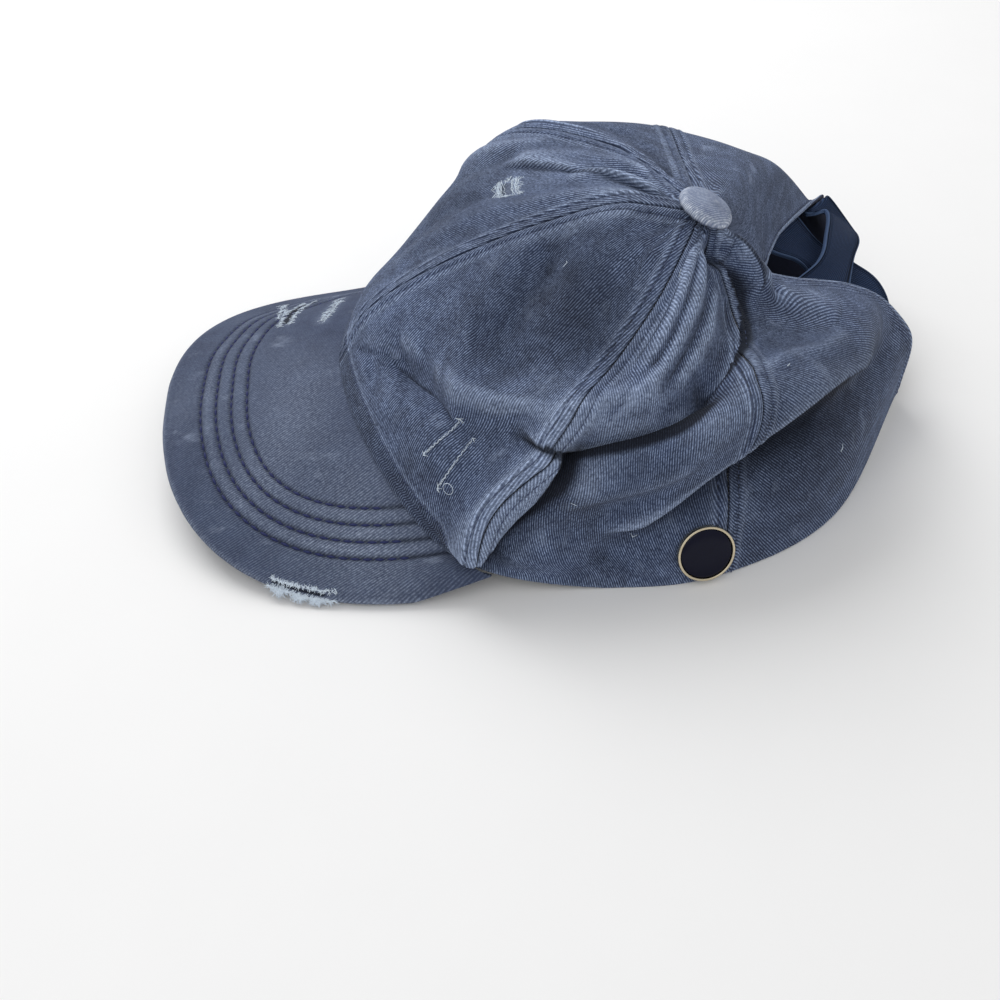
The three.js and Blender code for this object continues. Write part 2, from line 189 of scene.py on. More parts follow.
def normalOf(surface, at, up):
    return unit(np.cross(across(surface, at, up), along(surface, at, up)))


def toPath(path, at, up):
    # distance in millimetres to a path, which side of it, and how far along it
    width = crown["panelWidth"] * (1 - 0.75 * up)
    height = crown["panelHeight"]
    least = np.full(len(at), 1e9)
    side = np.zeros(len(at))
    place = np.zeros(len(at))
    lengths = [math.hypot((b[0] - a[0]) * 60, (b[1] - a[1]) * height) for a, b in zip(path, path[1:])]
    total = sum(lengths)
    done = 0
    for (a, b), length in zip(zip(path, path[1:]), lengths):
        ax = (a[0] - at) * width
        ay = (a[1] - up) * height
        dx = (b[0] - a[0]) * width
        dy = (b[1] - a[1]) * height
        t = np.clip(-(ax * dx + ay * dy) / (dx * dx + dy * dy), 0, 1)
        x = ax + t * dx
        y = ay + t * dy
        d = np.hypot(x, y)
        closer = d < least
        least = np.where(closer, d, least)
        side = np.where(closer, np.sign(dx * -y - dy * -x), side)
        place = np.where(closer, (done + t * length) / total, place)
        done += length
    return least, side, place


def calmOf(at, up):
    # folds die out under the button, at the rim and beside the opening
    return ((1 - smoothStep(0.93, 1, up)) * smoothStep(0, 0.07, up)
            * (1 - 0.6 * smoothStep(2.6, 3, at)))


def mainCloth(at, up):
    # the middle of the cloth as the solids have it
    point = slumped(at, up)
    low = np.minimum(up, crown["nearTop"])
    outward = normalOf(slumped, at, low)
    sideways = unit(across(slumped, at, low))
    calm = calmOf(at, up)
    for _, rise, width, lean, path in mainFolds:
        d = toPath(path, at, up)[0] / (width * crown["foldWidth"])
        amount = (np.exp(-d * d) * crown["foldDepth"] * calm * (d < 2.6))[:, None]
        point += outward * rise * amount + sideways * lean * amount
    point[:, 2] = np.maximum(point[:, 2], 0)
    return point


# Finer folds, in millimetres: how far the cloth rises, how wide the high side is, how far it is pushed
# over the low side, and the way of the edge. A lip is high on the left of its way and drops at once
# on the right, a ridge is soft on both sides and a crease is sharp.
fineFolds = [
    ("lip over the gap", "lip", 2.6, 7, 3.2,
     [(0.80, 0.45), (0.96, 0.455), (1.14, 0.465), (1.24, 0.485), (1.48, 0.515), (1.66, 0.53), (1.9, 0.55)]),
    ("flap at the temple seam", "lip", 3.0, 6, 3.6,
     [(1.0, 0.0), (1.01, 0.08), (1.05, 0.18), (1.09, 0.28), (1.07, 0.36), (1.01, 0.42), (0.93, 0.46)]),
    ("lower edge of the rolled ridge", "lip", 2.6, 8, 3.4,
     [(1.44, 0.16), (1.62, 0.21), (1.76, 0.26), (1.90, 0.32), (2.02, 0.37), (2.2, 0.43), (2.42, 0.445),
      (2.72, 0.40)]),
    ("side panel over the crevice", "lip", 3.0, 6, 3.4,
     [(1.72, 0.56), (1.84, 0.60), (1.95, 0.65), (2.02, 0.71), (2.05, 0.77), (2.05, 0.83), (2.05, 0.90)]),
    ("edge beside the opening", "lip", 1.6, 5, 2.0,
     [(2.30, 0.74), (2.34, 0.80), (2.34, 0.86), (2.32, 0.93)]),
    ("forehead band", "ridge", 1.5, 3.4, 0,
     [(0.48, 0.39), (0.58, 0.43), (0.72, 0.46), (0.86, 0.49), (1.02, 0.51)]),
    ("edge above the lip", "ridge", 1.2, 2.6, 0, [(1.0, 0.51), (1.22, 0.52), (1.36, 0.53), (1.7, 0.55)]),
    ("crease over the peak", "crease", -1.8, 2.2, 0,
     [(0.20, 0.22), (0.30, 0.27), (0.44, 0.34), (0.58, 0.35)]),
    ("crest over that crease", "ridge", 1.1, 3.2, 0, [(0.18, 0.29), (0.28, 0.34), (0.42, 0.39)]),
    ("second crease over the peak", "crease", -1.2, 2.0, 0, [(0.10, 0.13), (0.16, 0.20), (0.25, 0.31)]),
    ("dark band on the forehead", "ridge", -1.6, 6, 0,
     [(0.20, 0.68), (0.32, 0.62), (0.40, 0.55), (0.34, 0.47)]),
    ("pleat under the button", "crease", -2.2, 2.4, 0,
     [(2.32, 0.94), (2.26, 0.89), (2.14, 0.85), (2.08, 0.82)]),
    ("light fold right of the crevice", "ridge", 1.3, 3.0, 0,
     [(2.12, 0.79), (2.08, 0.72), (2.04, 0.66), (2.02, 0.58), (2.0, 0.52)]),
    ("first side ridge", "ridge", 1.6, 3.6, 0,
     [(1.70, 0.92), (1.60, 0.80), (1.48, 0.69), (1.34, 0.61), (1.18, 0.53)]),
    ("second side ridge", "ridge", 1.4, 3.0, 0,
     [(1.42, 0.92), (1.34, 0.78), (1.26, 0.67), (1.14, 0.57), (1.06, 0.50)]),
    ("valley between the side ridges", "ridge", -1.4, 2.6, 0, [(1.58, 0.90), (1.44, 0.73), (1.28, 0.61)]),
    ("third side ridge", "ridge", 1.3, 3.2, 0, [(1.88, 0.90), (1.84, 0.78), (1.72, 0.67), (1.50, 0.58)]),
    ("valley beside the third ridge", "ridge", -1.3, 2.6, 0,
     [(1.80, 0.88), (1.72, 0.76), (1.54, 0.65), (1.36, 0.57)]),
    ("slack beside the ear", "ridge", 1.0, 4.0, 0, [(1.25, 0.26), (1.38, 0.32), (1.56, 0.35), (1.76, 0.38)]),
    ("dent under the ear", "ridge", -1.2, 5.0, 0, [(1.30, 0.14), (1.44, 0.22), (1.58, 0.28)]),
    ("light edge behind the ridge", "ridge", 1.3, 3.0, 0,
     [(2.02, 0.54), (2.22, 0.55), (2.44, 0.52), (2.62, 0.50)]),
    ("crest behind the ear", "ridge", 1.4, 6.0, 0, [(2.62, 0.72), (2.68, 0.62), (2.70, 0.52)]),
    ("pull at the hem", "ridge", 0.9, 4.0, 0, [(2.02, 0.30), (2.06, 0.22), (2.10, 0.12)]),
    ("ripple on the far front", "ridge", 1.3, 4.0, 0, [(-0.14, 0.30), (-0.24, 0.46), (-0.30, 0.62)]),
    ("second ripple on the far front", "ridge", -1.1, 3.6, 0, [(-0.30, 0.28), (-0.40, 0.44), (-0.42, 0.62)]),
    ("pleat from the button to the far front", "crease", -1.6, 2.4, 0,
     [(-0.62, 0.92), (-0.60, 0.80), (-0.52, 0.70)]),
    ("crest beside that pleat", "ridge", 1.4, 3.0, 0, [(-0.48, 0.92), (-0.46, 0.80), (-0.38, 0.70)]),
    ("third ripple on the far front", "ridge", 1.2, 3.2, 0, [(-0.80, 0.88), (-0.74, 0.74), (-0.70, 0.60)]),
    ("crest over the far seam", "ridge", 1.2, 4.0, 0, [(-1.12, 0.50), (-1.10, 0.64), (-1.06, 0.80)]),
    ("dent on the far side", "ridge", -1.6, 6.0, 0, [(-1.40, 0.90), (-1.50, 0.74), (-1.56, 0.60)]),
    ("slack by the front seam", "ridge", 1.0, 3.0, 0,
     [(0.10, 0.86), (0.12, 0.74), (0.10, 0.62), (0.14, 0.50)]),
    ("sharp fold on the far front", "lip", 1.8, 5, 1.6,
     [(-0.70, 0.56), (-0.62, 0.68), (-0.46, 0.80), (-0.34, 0.92)]),
    ("long slack on the far front", "ridge", 1.4, 3.4, 0,
     [(-0.10, 0.88), (-0.16, 0.74), (-0.20, 0.58), (-0.16, 0.40)]),
    ("fold along the far crest", "ridge", 1.6, 3.0, 0, [(-0.86, 0.40), (-0.82, 0.54), (-0.84, 0.66)]),
    ("dip along the far crest", "ridge", -1.4, 3.0, 0, [(-0.70, 0.40), (-0.70, 0.52), (-0.74, 0.62)]),
]


def curve(path, steps=6):
    # the same way with rounded corners
    points = np.array(path, float)
    places = np.linspace(0, 1, len(points))
    return [tuple(q) for q in hermite(places, points, np.linspace(0, 1, (len(points) - 1) * steps + 1))]


foldWays = [(name, kind, rise, width, push, curve(path)) for name, kind, rise, width, push, path in fineFolds]
dropWidth = 1.9


def fineCloth(at, up):
    point = mainCloth(at, up)
    low = np.minimum(up, crown["nearTop"])
    outward = normalOf(slumped, at, low)
    sideways = unit(across(slumped, at, low))
    upward = unit(along(slumped, at, low))
    calm = calmOf(at, up)
    for _, kind, rise, width, push, path in foldWays:
        wayAts, wayUps = zip(*path)
        reachAt, reachUp = 3 * width / 28, 3 * width / crown["panelHeight"]
        near = np.nonzero((at > min(wayAts) - reachAt) & (at < max(wayAts) + reachAt)
                          & (up > min(wayUps) - reachUp) & (up < max(wayUps) + reachUp))[0]
        if len(near) == 0:
            continue
        d, side, place = toPath(path, at[near], up[near])
        fade = smoothStep(0, 0.14, place) * (1 - smoothStep(0.86, 1, place)) * calm[near]
        if kind == "lip":
            reach = np.where(side > 0, width, dropWidth)
            amount = np.exp(-(d / reach) ** 2) * fade
            (a0, u0), (a1, u1) = path[0], path[-1]
            wayX, wayY = (a1 - a0) * 60, (u1 - u0) * crown["panelHeight"]
            size = math.hypot(wayX, wayY)
            # the low side is on the right of the way
            lean = sideways[near] * (wayY / size) - upward[near] * (wayX / size)
            point[near] += lean * (amount * push)[:, None]
        elif kind == "ridge":
            amount = np.exp(-(d / width) ** 2) * fade
        else:
            amount = np.exp(-1.5 * d / width) * fade
        point[near] += outward[near] * (rise * amount)[:, None]
    point[:, 2] = np.maximum(point[:, 2], 0)
    return point


# meshes
def meshPiece(name, points, faces, materials, faceMaterials=None, uv=None, numbers=None):
    mesh = bpy.data.meshes.new(name)
    mesh.from_pydata(np.asarray(points).tolist(), [], np.asarray(faces).tolist())
    for material in materials:
        mesh.materials.append(material)
    if faceMaterials is not None:
        mesh.polygons.foreach_set("material_index", np.asarray(faceMaterials, np.int32))
    mesh.polygons.foreach_set("use_smooth", np.ones(len(mesh.polygons), bool))
    if uv is not None:
        corners = np.zeros(len(mesh.loops), np.int32)
        mesh.loops.foreach_get("vertex_index", corners)
        layer = mesh.uv_layers.new(name="cloth")
        layer.data.foreach_set("uv", np.asarray(uv)[corners].astype(np.float32).ravel())
    for key, values in (numbers or {}).items():
        field = mesh.attributes.new(key, "FLOAT", "POINT")
        field.data.foreach_set("value", np.asarray(values, np.float32))
    mesh.update()
    piece = bpy.data.objects.new(name, mesh)
    bpy.context.scene.collection.objects.link(piece)
    return piece


def shellFaces(rows, columns):
    # a closed sheet: outer grid first, inner grid after it
    half = rows * columns
    r, c = np.meshgrid(np.arange(rows - 1), np.arange(columns - 1), indexing="ij")
    a = (r * columns + c).ravel()
    outer = np.stack([a, a + 1, a + columns + 1, a + columns], 1)
    inner = outer[:, ::-1] + half
    c = np.arange(columns - 1)
    bottom = np.stack([c, c + half, c + 1 + half, c + 1], 1)
    e = (rows - 1) * columns
    top = np.stack([e + c, e + c + 1, e + c + 1 + half, e + c + half], 1)
    r = np.arange(rows - 1) * columns
    left = np.stack([r, r + columns, r + columns + half, r + half], 1)
    q = r + columns - 1
    right = np.stack([q, q + half, q + columns + half, q + columns], 1)
    return outer, inner, np.concatenate([bottom, top, left, right])


def gridNormals(p):
    # outward normals of a grid of points [row, column, xyz]
    dc = np.gradient(p, axis=1)
    dr = np.gradient(p, axis=0)
    return unit(np.cross(dc, dr))


def arcs(p, axis):
    steps = np.linalg.norm(np.diff(p, axis=axis), axis=2)
    pad = [(0, 0), (0, 0)]
    pad[axis] = (1, 0)
    return np.pad(np.cumsum(steps, axis=axis), pad)


def attributesOf(wear, depth):
    # both faces of a sheet carry the same wear and depth; depth is the darkening, mostly painted shade
    return {"wear": np.tile(np.clip(wear, 0, 1).ravel(), 2),
            "depth": np.tile(np.clip(depth, 0, 1).ravel(), 2)}


# materials
def newMaterial(name):
    material = bpy.data.materials.new(name)
    material.use_nodes = True
    tree = material.node_tree
    tree.nodes.clear()
    out = tree.nodes.new("ShaderNodeOutputMaterial")
    shader = tree.nodes.new("ShaderNodeBsdfPrincipled")
    tree.links.new(shader.outputs[0], out.inputs[0])
    return material, tree, shader


class Nodes:
    # short ways to add the nodes that the finishes share
    def __init__(self, tree):
        self.tree = tree

    def add(self, kind, **inputs):
        node = self.tree.nodes.new(kind)
        for key, value in inputs.items():
            self.feed(node.inputs[key.replace("_", " ")], value)
        return node

    def feed(self, socket, value):
        if isinstance(value, bpy.types.NodeSocket):
            self.tree.links.new(value, socket)
        else:
            socket.default_value = value

    def math(self, operation, a, b=0.0, c=0.0, clamp=False):
        node = self.tree.nodes.new("ShaderNodeMath")
        node.operation = operation
        node.use_clamp = clamp
        for k, value in enumerate((a, b, c)):
            self.feed(node.inputs[k], value)
        return node.outputs[0]

    def mix(self, factor, a, b, blend="MIX"):
        node = self.tree.nodes.new("ShaderNodeMix")
        node.data_type = "RGBA"
        node.blend_type = blend
        node.clamp_factor = True
        self.feed(node.inputs[0], factor)
        self.feed(node.inputs[6], a)
        self.feed(node.inputs[7], b)
        return node.outputs[2]

    def wave(self, phase):
        # a smooth wave between 0 and 1
        return self.math("MULTIPLY_ADD", self.math("SINE", phase), 0.5, 0.5)

    def number(self, name):
        node = self.tree.nodes.new("ShaderNodeAttribute")
        node.attribute_name = name
        return node.outputs["Fac"]

    def noise(self, vector, scale, detail=3.0, roughness=0.55):
        node = self.tree.nodes.new("ShaderNodeTexNoise")
        self.feed(node.inputs["Vector"], vector)
        node.inputs["Scale"].default_value = scale
        node.inputs["Detail"].default_value = detail
        node.inputs["Roughness"].default_value = roughness
        return node.outputs["Fac"]

    def range(self, value, low, high, toLow=0.0, toHigh=1.0):
        node = self.tree.nodes.new("ShaderNodeMapRange")
        node.interpolation_type = "SMOOTHSTEP"
        self.feed(node.inputs[0], value)
        for k, x in enumerate((low, high, toLow, toHigh)):
            node.inputs[k + 1].default_value = x
        return node.outputs[0]

    def placed(self, vector, turn=0.0, stretch=(1.0, 1.0, 1.0)):
        node = self.tree.nodes.new("ShaderNodeMapping")
        self.feed(node.inputs["Vector"], vector)
        node.inputs["Rotation"].default_value = (0.0, 0.0, turn)
        node.inputs["Scale"].default_value = stretch
        return node.outputs[0]


def linear(red, green, blue):
    def one(v):
        v /= 255
        return v / 12.92 if v <= 0.04045 else ((v + 0.055) / 1.055) ** 2.4
    return (one(red), one(green), one(blue), 1.0)


twill = {
    "pitch": 0.8,
    "dark": linear(18, 27, 52),
    "mid": linear(46, 60, 92),
    "light": linear(160, 179, 216),
    "worn": linear(176, 193, 224),
    "lines": 1.0,
    "bump": 0.9,
}


def makeTwill(name, turn, colours=None, wornAmount=1.0):
    colours = colours or twill
    material, tree, shader = newMaterial(name)
    n = Nodes(tree)
    uvNode = tree.nodes.new("ShaderNodeUVMap")
    uvNode.uv_map = "cloth"
    uv = uvNode.outputs[0]
    lines = n.placed(uv, turn)
    wobble = n.noise(n.placed(uv, turn, (0.35, 0.10, 1.0)), 1.0, 2.0)
    split = tree.nodes.new("ShaderNodeSeparateXYZ")
    n.feed(split.inputs[0], lines)
    phase = n.math("MULTIPLY", split.outputs[0], 2 * math.pi / colours["pitch"])
    wave = n.wave(n.math("MULTIPLY_ADD", wobble, 4.0, phase))
    # short grains along the twill's lines
    grain = n.noise(n.placed(uv, turn, (2.6, 0.9, 1.0)), 1.0, 3.0, 0.7)
    clouds = n.noise(uv, 0.035, 4.0, 0.6)
    patches = n.noise(uv, 0.15, 5.0, 0.65)
    specks = n.noise(uv, 0.9, 3.0, 0.7)
    wear = n.number("wear")
    depth = n.number("depth")
    wash = n.math("ADD", n.math("MULTIPLY", n.range(clouds, 0.3, 0.7), 0.55),
                  n.math("MULTIPLY", n.range(patches, 0.32, 0.7), 0.45))
    base = n.mix(wash, colours["dark"], colours["mid"])
    lineAmount = n.math("MULTIPLY", n.math("POWER", wave, 1.8), n.range(grain, 0.36, 0.62, 0.1, 1.0))
    washed = n.math("MULTIPLY_ADD", n.range(patches, 0.35, 0.7), 0.5, 0.6)
    lineShare = n.math("MULTIPLY", n.math("MULTIPLY", lineAmount, washed), colours["lines"])
    base = n.mix(lineShare, base, colours["light"])
    # soft rubbed marks that follow no line
    marks = n.range(n.noise(n.placed(uv, turn, (0.10, 0.05, 1.0)), 1.0, 5.0, 0.7), 0.56, 0.74)
    base = n.mix(n.math("MULTIPLY", marks, 0.34), base, colours["worn"])
    rub = n.math("MULTIPLY", wear, n.range(specks, 0.3, 0.72, 0.35, 1.3))
    rub = n.math("MULTIPLY", rub, n.math("MULTIPLY_ADD", lineAmount, 0.85, 0.35))
    base = n.mix(n.math("MULTIPLY", rub, wornAmount, clamp=True), base, colours["worn"])
    # painted shade: depth darkens the colour towards near black in hollows, creases, grooves and under folds,
    # and over darker patches of cloth
    base = n.mix(n.math("MULTIPLY", depth, 0.9, clamp=True), base, (0.003, 0.005, 0.012, 1.0))
    n.feed(shader.inputs["Base Color"], base)
    shader.inputs["Roughness"].default_value = 0.95
    shader.inputs["Specular IOR Level"].default_value = 0.15
    shader.inputs["Sheen Weight"].default_value = 0.05
    shader.inputs["Sheen Roughness"].default_value = 0.6
    height = n.math("ADD", n.math("MULTIPLY", wave, 0.7), n.math("MULTIPLY", grain, 0.6))
    bump = tree.nodes.new("ShaderNodeBump")
    bump.inputs["Strength"].default_value = colours["bump"]
    bump.inputs["Distance"].default_value = 0.00035
    n.feed(bump.inputs["Height"], height)
    n.feed(shader.inputs["Normal"], bump.outputs[0])
    return material


def makePlain(name, colour, roughness=0.8, metallic=0.0, grainScale=900.0, amount=0.25, gloss=0.5):
    material, tree, shader = newMaterial(name)
    n = Nodes(tree)
    spot = tree.nodes.new("ShaderNodeTexCoord").outputs["Object"]
    grain = n.noise(spot, grainScale, 3.0, 0.6)
    darker = tuple(c * (1 - amount) for c in colour[:3]) + (1.0,)
    lighter = tuple(min(c * (1 + amount), 1.0) for c in colour[:3]) + (1.0,)
    n.feed(shader.inputs["Base Color"], n.mix(grain, darker, lighter))
    shader.inputs["Roughness"].default_value = roughness
    shader.inputs["Metallic"].default_value = metallic
    shader.inputs["Specular IOR Level"].default_value = gloss
    bump = tree.nodes.new("ShaderNodeBump")
    bump.inputs["Strength"].default_value = 0.2
    bump.inputs["Distance"].default_value = 0.0001
    n.feed(bump.inputs["Height"], grain)
    n.feed(shader.inputs["Normal"], bump.outputs[0])
    return material


# the inner faces are a darker navy: partly the cloth's plain back, partly painted shade for the hollow inside
# the crown
shadedInsideCloth = makePlain("inside cloth", linear(30, 36, 58), 0.95, amount=0.3)
# how far each panel's twill leans from its own middle line, in degrees, and how far apart its lines are
twillTurns = {"front": -12, "side": -20, "back": -38}
twillPitches = {"front": 0.76, "side": 0.7, "back": 0.76}
crownTwills = {key: makeTwill("crown twill " + key, math.radians(turn), dict(twill, pitch=twillPitches[key]))
               for key, turn in twillTurns.items()}

# crown panels
panels = {
    "panel_back_right": (-3, 56),
    "panel_side_right": (-2, 56),
    "panel_front_right": (-1, 60),
    "panel_front_left": (0, 112),
    "panel_side_left": (1, 118),
    "panel_back_left": (2, 112),
}
seam = {
    "gap": 0.08,
    "rise": 0.5,
    "band": 4.6,
    "stitch": 3.1,
    "stitchDepth": 0.42,
    "stitchWidth": 0.5,
    "rimStitch": 7.5,
}
nearSeam = np.array([0, 0.08, 0.25, 0.5, 0.8, 1.2, 1.7, 2.2, 2.6, 2.85, 3.1, 3.35, 3.6, 4.0, 4.5, 5.1, 5.9])
nearRim = np.array([0, 0.08, 0.25, 0.5, 0.8, 1.2, 1.7, 2.3]) / crown["panelHeight"]


def panelGrid(start, middle):
    # rows of "up", and for each row columns of "at" that crowd beside the seams
    count = crown["rows"] + (crown["moreRows"] if start >= 0 else 0)
    body = np.linspace(2.9 / crown["panelHeight"], crown["tip"], count - len(nearRim))
    ups = np.concatenate([nearRim, body])
    first = np.full(len(ups), float(start))
    last = first + 1
    low = np.minimum(ups, crown["nearTop"])
    paceA = np.linalg.norm(across(mainCloth, first, low), axis=1)
    paceB = np.linalg.norm(across(mainCloth, last, low), axis=1)
    squeezeA = np.minimum(1, 0.36 * paceA / nearSeam[-1])
    squeezeB = np.minimum(1, 0.36 * paceB / nearSeam[-1])
    a = first[:, None] + (seam["gap"] + nearSeam[None] * squeezeA[:, None]) / paceA[:, None]
    b = last[:, None] - (seam["gap"] + nearSeam[None, ::-1] * squeezeB[:, None]) / paceB[:, None]
    share = np.linspace(0, 1, middle + 2)[1:-1]
    m = a[:, -1:] + share[None] * (b[:, :1] - a[:, -1:])
    ats = np.concatenate([a, m, b], 1)
    return ats, np.broadcast_to(ups[:, None], ats.shape)


def stitchGroove(d, line, depth, width):
    return -depth * np.exp(-((d - line) / width) ** 2)


def seamHeight(d, opening):
    # how far the cloth stands out at a distance from a sewn seam, or from the opening's hem
    band = seam["rise"] * (1 - smoothStep(seam["band"] - 0.9, seam["band"] + 0.9, d))
    sewn = band + stitchGroove(d, seam["stitch"], seam["stitchDepth"], seam["stitchWidth"])
    hem = (0.3 * (1 - smoothStep(6.2, 7.4, d)) + stitchGroove(d, 1.9, 0.25, 0.45)
           + stitchGroove(d, 6.0, 0.3, 0.5))
    return sewn * (1 - opening) + hem * opening


# how convex the cloth is, read from a coarse grid over the whole crown
def bendField():
    ats = np.linspace(-3, 3, 241)
    top = crown["nearTop"]
    ups = np.linspace(0, top, 111)
    a, u = [g.ravel() for g in np.meshgrid(ats, ups, indexing="ij")]
    middle = fineCloth(a, u)
    outward = normalOf(fineCloth, a, u)
    total = np.zeros(len(a))
    for reach, share in ((2.5, 1.0), (6.0, 0.55)):
        da = reach / np.maximum(np.linalg.norm(across(slumped, a, u), axis=1), 12)
        du = reach / crown["panelHeight"]
        around = (fineCloth(np.clip(a - da, -3, 3), u) + fineCloth(np.clip(a + da, -3, 3), u)
                  + fineCloth(a, np.clip(u - du, 0, top)) + fineCloth(a, np.clip(u + du, 0, top)))
        total += share * ((middle - around / 4) * outward).sum(1) / reach
    return ats, ups, total.reshape(len(ats), len(ups))


def readGrid(ats, ups, field, at, up):
    x = np.clip((at - ats[0]) / (ats[1] - ats[0]), 0, len(ats) - 1.001)
    y = np.clip((up - ups[0]) / (ups[1] - ups[0]), 0, len(ups) - 1.001)
    i, j = x.astype(int), y.astype(int)
    s, t = x - i, y - j
    return ((field[i, j] * (1 - s) + field[i + 1, j] * s) * (1 - t)
            + (field[i, j + 1] * (1 - s) + field[i + 1, j + 1] * s) * t)


bends = bendField()
print("bends read")

# worn places (above nought) and darker ones (below) on the crown, the darker ones partly darker cloth and
# partly painted shade: where, how large in millimetres, how much
wearAndShadePatches = [
    ("dark forehead", 0.44, 0.63, 20, -0.42),
    ("dark forehead, lower", 0.44, 0.50, 13, -0.22),
    ("dark beside the front seam", 0.56, 0.74, 13, -0.40),
    ("dark beside the front seam, lower", 0.82, 0.66, 9, -0.32),
    ("dark back", 2.44, 0.33, 26, -0.72),
    ("dark back, lower", 2.25, 0.12, 22, -0.30),
    ("dark far front", -0.30, 0.44, 18, -0.40),
    ("dark far front, higher", -0.54, 0.52, 13, -0.32),
    ("dark front by the rim", 0.62, 0.20, 16, -0.22),
    ("dark under the flap", 1.30, 0.22, 12, -0.20),
    ("dark ridge", 1.55, 0.38, 12, -0.18),
    ("dark hollow behind the ear", 2.42, 0.60, 12, -0.2),
    ("dark flap", 1.35, 0.30, 10, -0.25),
    ("worn by the front seam", 0.02, 0.76, 7, 0.30),
    ("worn far front", -0.36, 0.80, 8, 0.30),
    ("worn far front, lower", -0.58, 0.68, 9, 0.22),
    ("worn far crest", -0.80, 0.52, 13, 0.25),
    ("worn side", 1.16, 0.70, 12, 0.30),
    ("worn side, higher", 1.30, 0.82, 9, 0.25),
    ("worn at the crevice", 1.90, 0.72, 9, 0.18),
    ("worn temple", 0.86, 0.51, 10, 0.12),
    ("worn hollow edge", 2.70, 0.62, 10, 0.22),
]


def cover(mark, at, up):
    # how much of a round mark covers each place
    _, markAt, markUp, size, amount = mark
    x = (at - markAt) * crown["panelWidth"] * (1 - 0.75 * up)
    y = (up - markUp) * crown["panelHeight"]
    return abs(amount) * np.exp(-(x * x + y * y) / size ** 2)


# the frayed patch on the far side of the front seam
patch = {
    "at": -0.42, "up": 0.605,
    "wide": 12.0, "tall": 6.6,
    "pace": 62,  # millimetres to one panel's width here
    "slits": (-0.9, 0.05, 1.0),
}


def patchPlace(at, up):
    x = (at - patch["at"]) * patch["pace"]
    y = (up - patch["up"]) * crown["panelHeight"]
    return x, y


stitchLines = []


# how far under each lip the painted shadow reaches: all dark, no longer dark, and how dark
lipShadowReach = {
    "lip over the gap": (7.2, 9.6, 1.1),
    "flap at the temple seam": (9.0, 12.5, 1.1),
    "lower edge of the rolled ridge": (8, 26, 0.62),
    "side panel over the crevice": (5.4, 8.5, 1.0),
    "edge beside the opening": (3, 7, 0.8),
    "sharp fold on the far front": (1.5, 5, 0.4),
}


def lipShades(at, up):
    # painted shadow under every lip, and pale along its edge
    dark, pale = np.zeros(len(at)), np.zeros(len(at))
    for name, kind, rise, _, _, path in foldWays:
        if kind != "lip":
            continue
        d, side, place = toPath(path, at, up)
        full, gone, amount = lipShadowReach[name]
        fade = smoothStep(0, 0.14, place) * (1 - smoothStep(0.86, 1, place))
        # the painted shadow in the gap narrows to nothing at both ends
        reach = 0.45 + 0.55 * smoothStep(0, 0.35, place) * (1 - smoothStep(0.7, 1, place))
        if name.startswith("flap"):
            reach = 0.8 + 0.2 * smoothStep(0.05, 0.7, place)
        dark += amount * fade * (side < 0) * (1 - smoothStep(full * reach, gone * reach, d))
        fade *= rise / 3
        pale += 0.45 * fade * (side > 0) * np.exp(-((d - 1.0) / 1.2) ** 2)
    return dark, pale


def smoothed(field, axis, reach):
    # an average along one way of a grid, so that the weave runs straight over small folds
    steps = np.arange(-2 * reach, 2 * reach + 1)
    weights = np.exp(-(steps / reach) ** 2)
    pads = [(0, 0), (0, 0)]
    pads[axis] = (2 * reach, 2 * reach)
    wide = np.pad(field, pads, mode="reflect", reflect_type="odd")
    count = field.shape[axis]
    total = sum(w * np.take(wide, range(k, k + count), axis) for k, w in enumerate(weights))
    return total / weights.sum()


def linesAt(points, normals, away, level, axis):
    # the places where a distance reaches a level, along every row (axis 1) or column (axis 0)
    if axis == 0:
        points, normals, away = points.transpose(1, 0, 2), normals.transpose(1, 0, 2), away.T
    spots = []
    for row in range(away.shape[0]):
        d = away[row]
        hit = np.nonzero((d[:-1] - level) * (d[1:] - level) <= 0)[0]
        if len(hit) == 0 or np.ptp(d) < 3 * level * axis:
            continue
        i = hit[0]
        f = (level - d[i]) / (d[i + 1] - d[i] + 1e-9)
        spots.append(np.concatenate([points[row, i] * (1 - f) + points[row, i + 1] * f, normals[row, i]]))
    return [np.array(spots)] if len(spots) > 8 else []


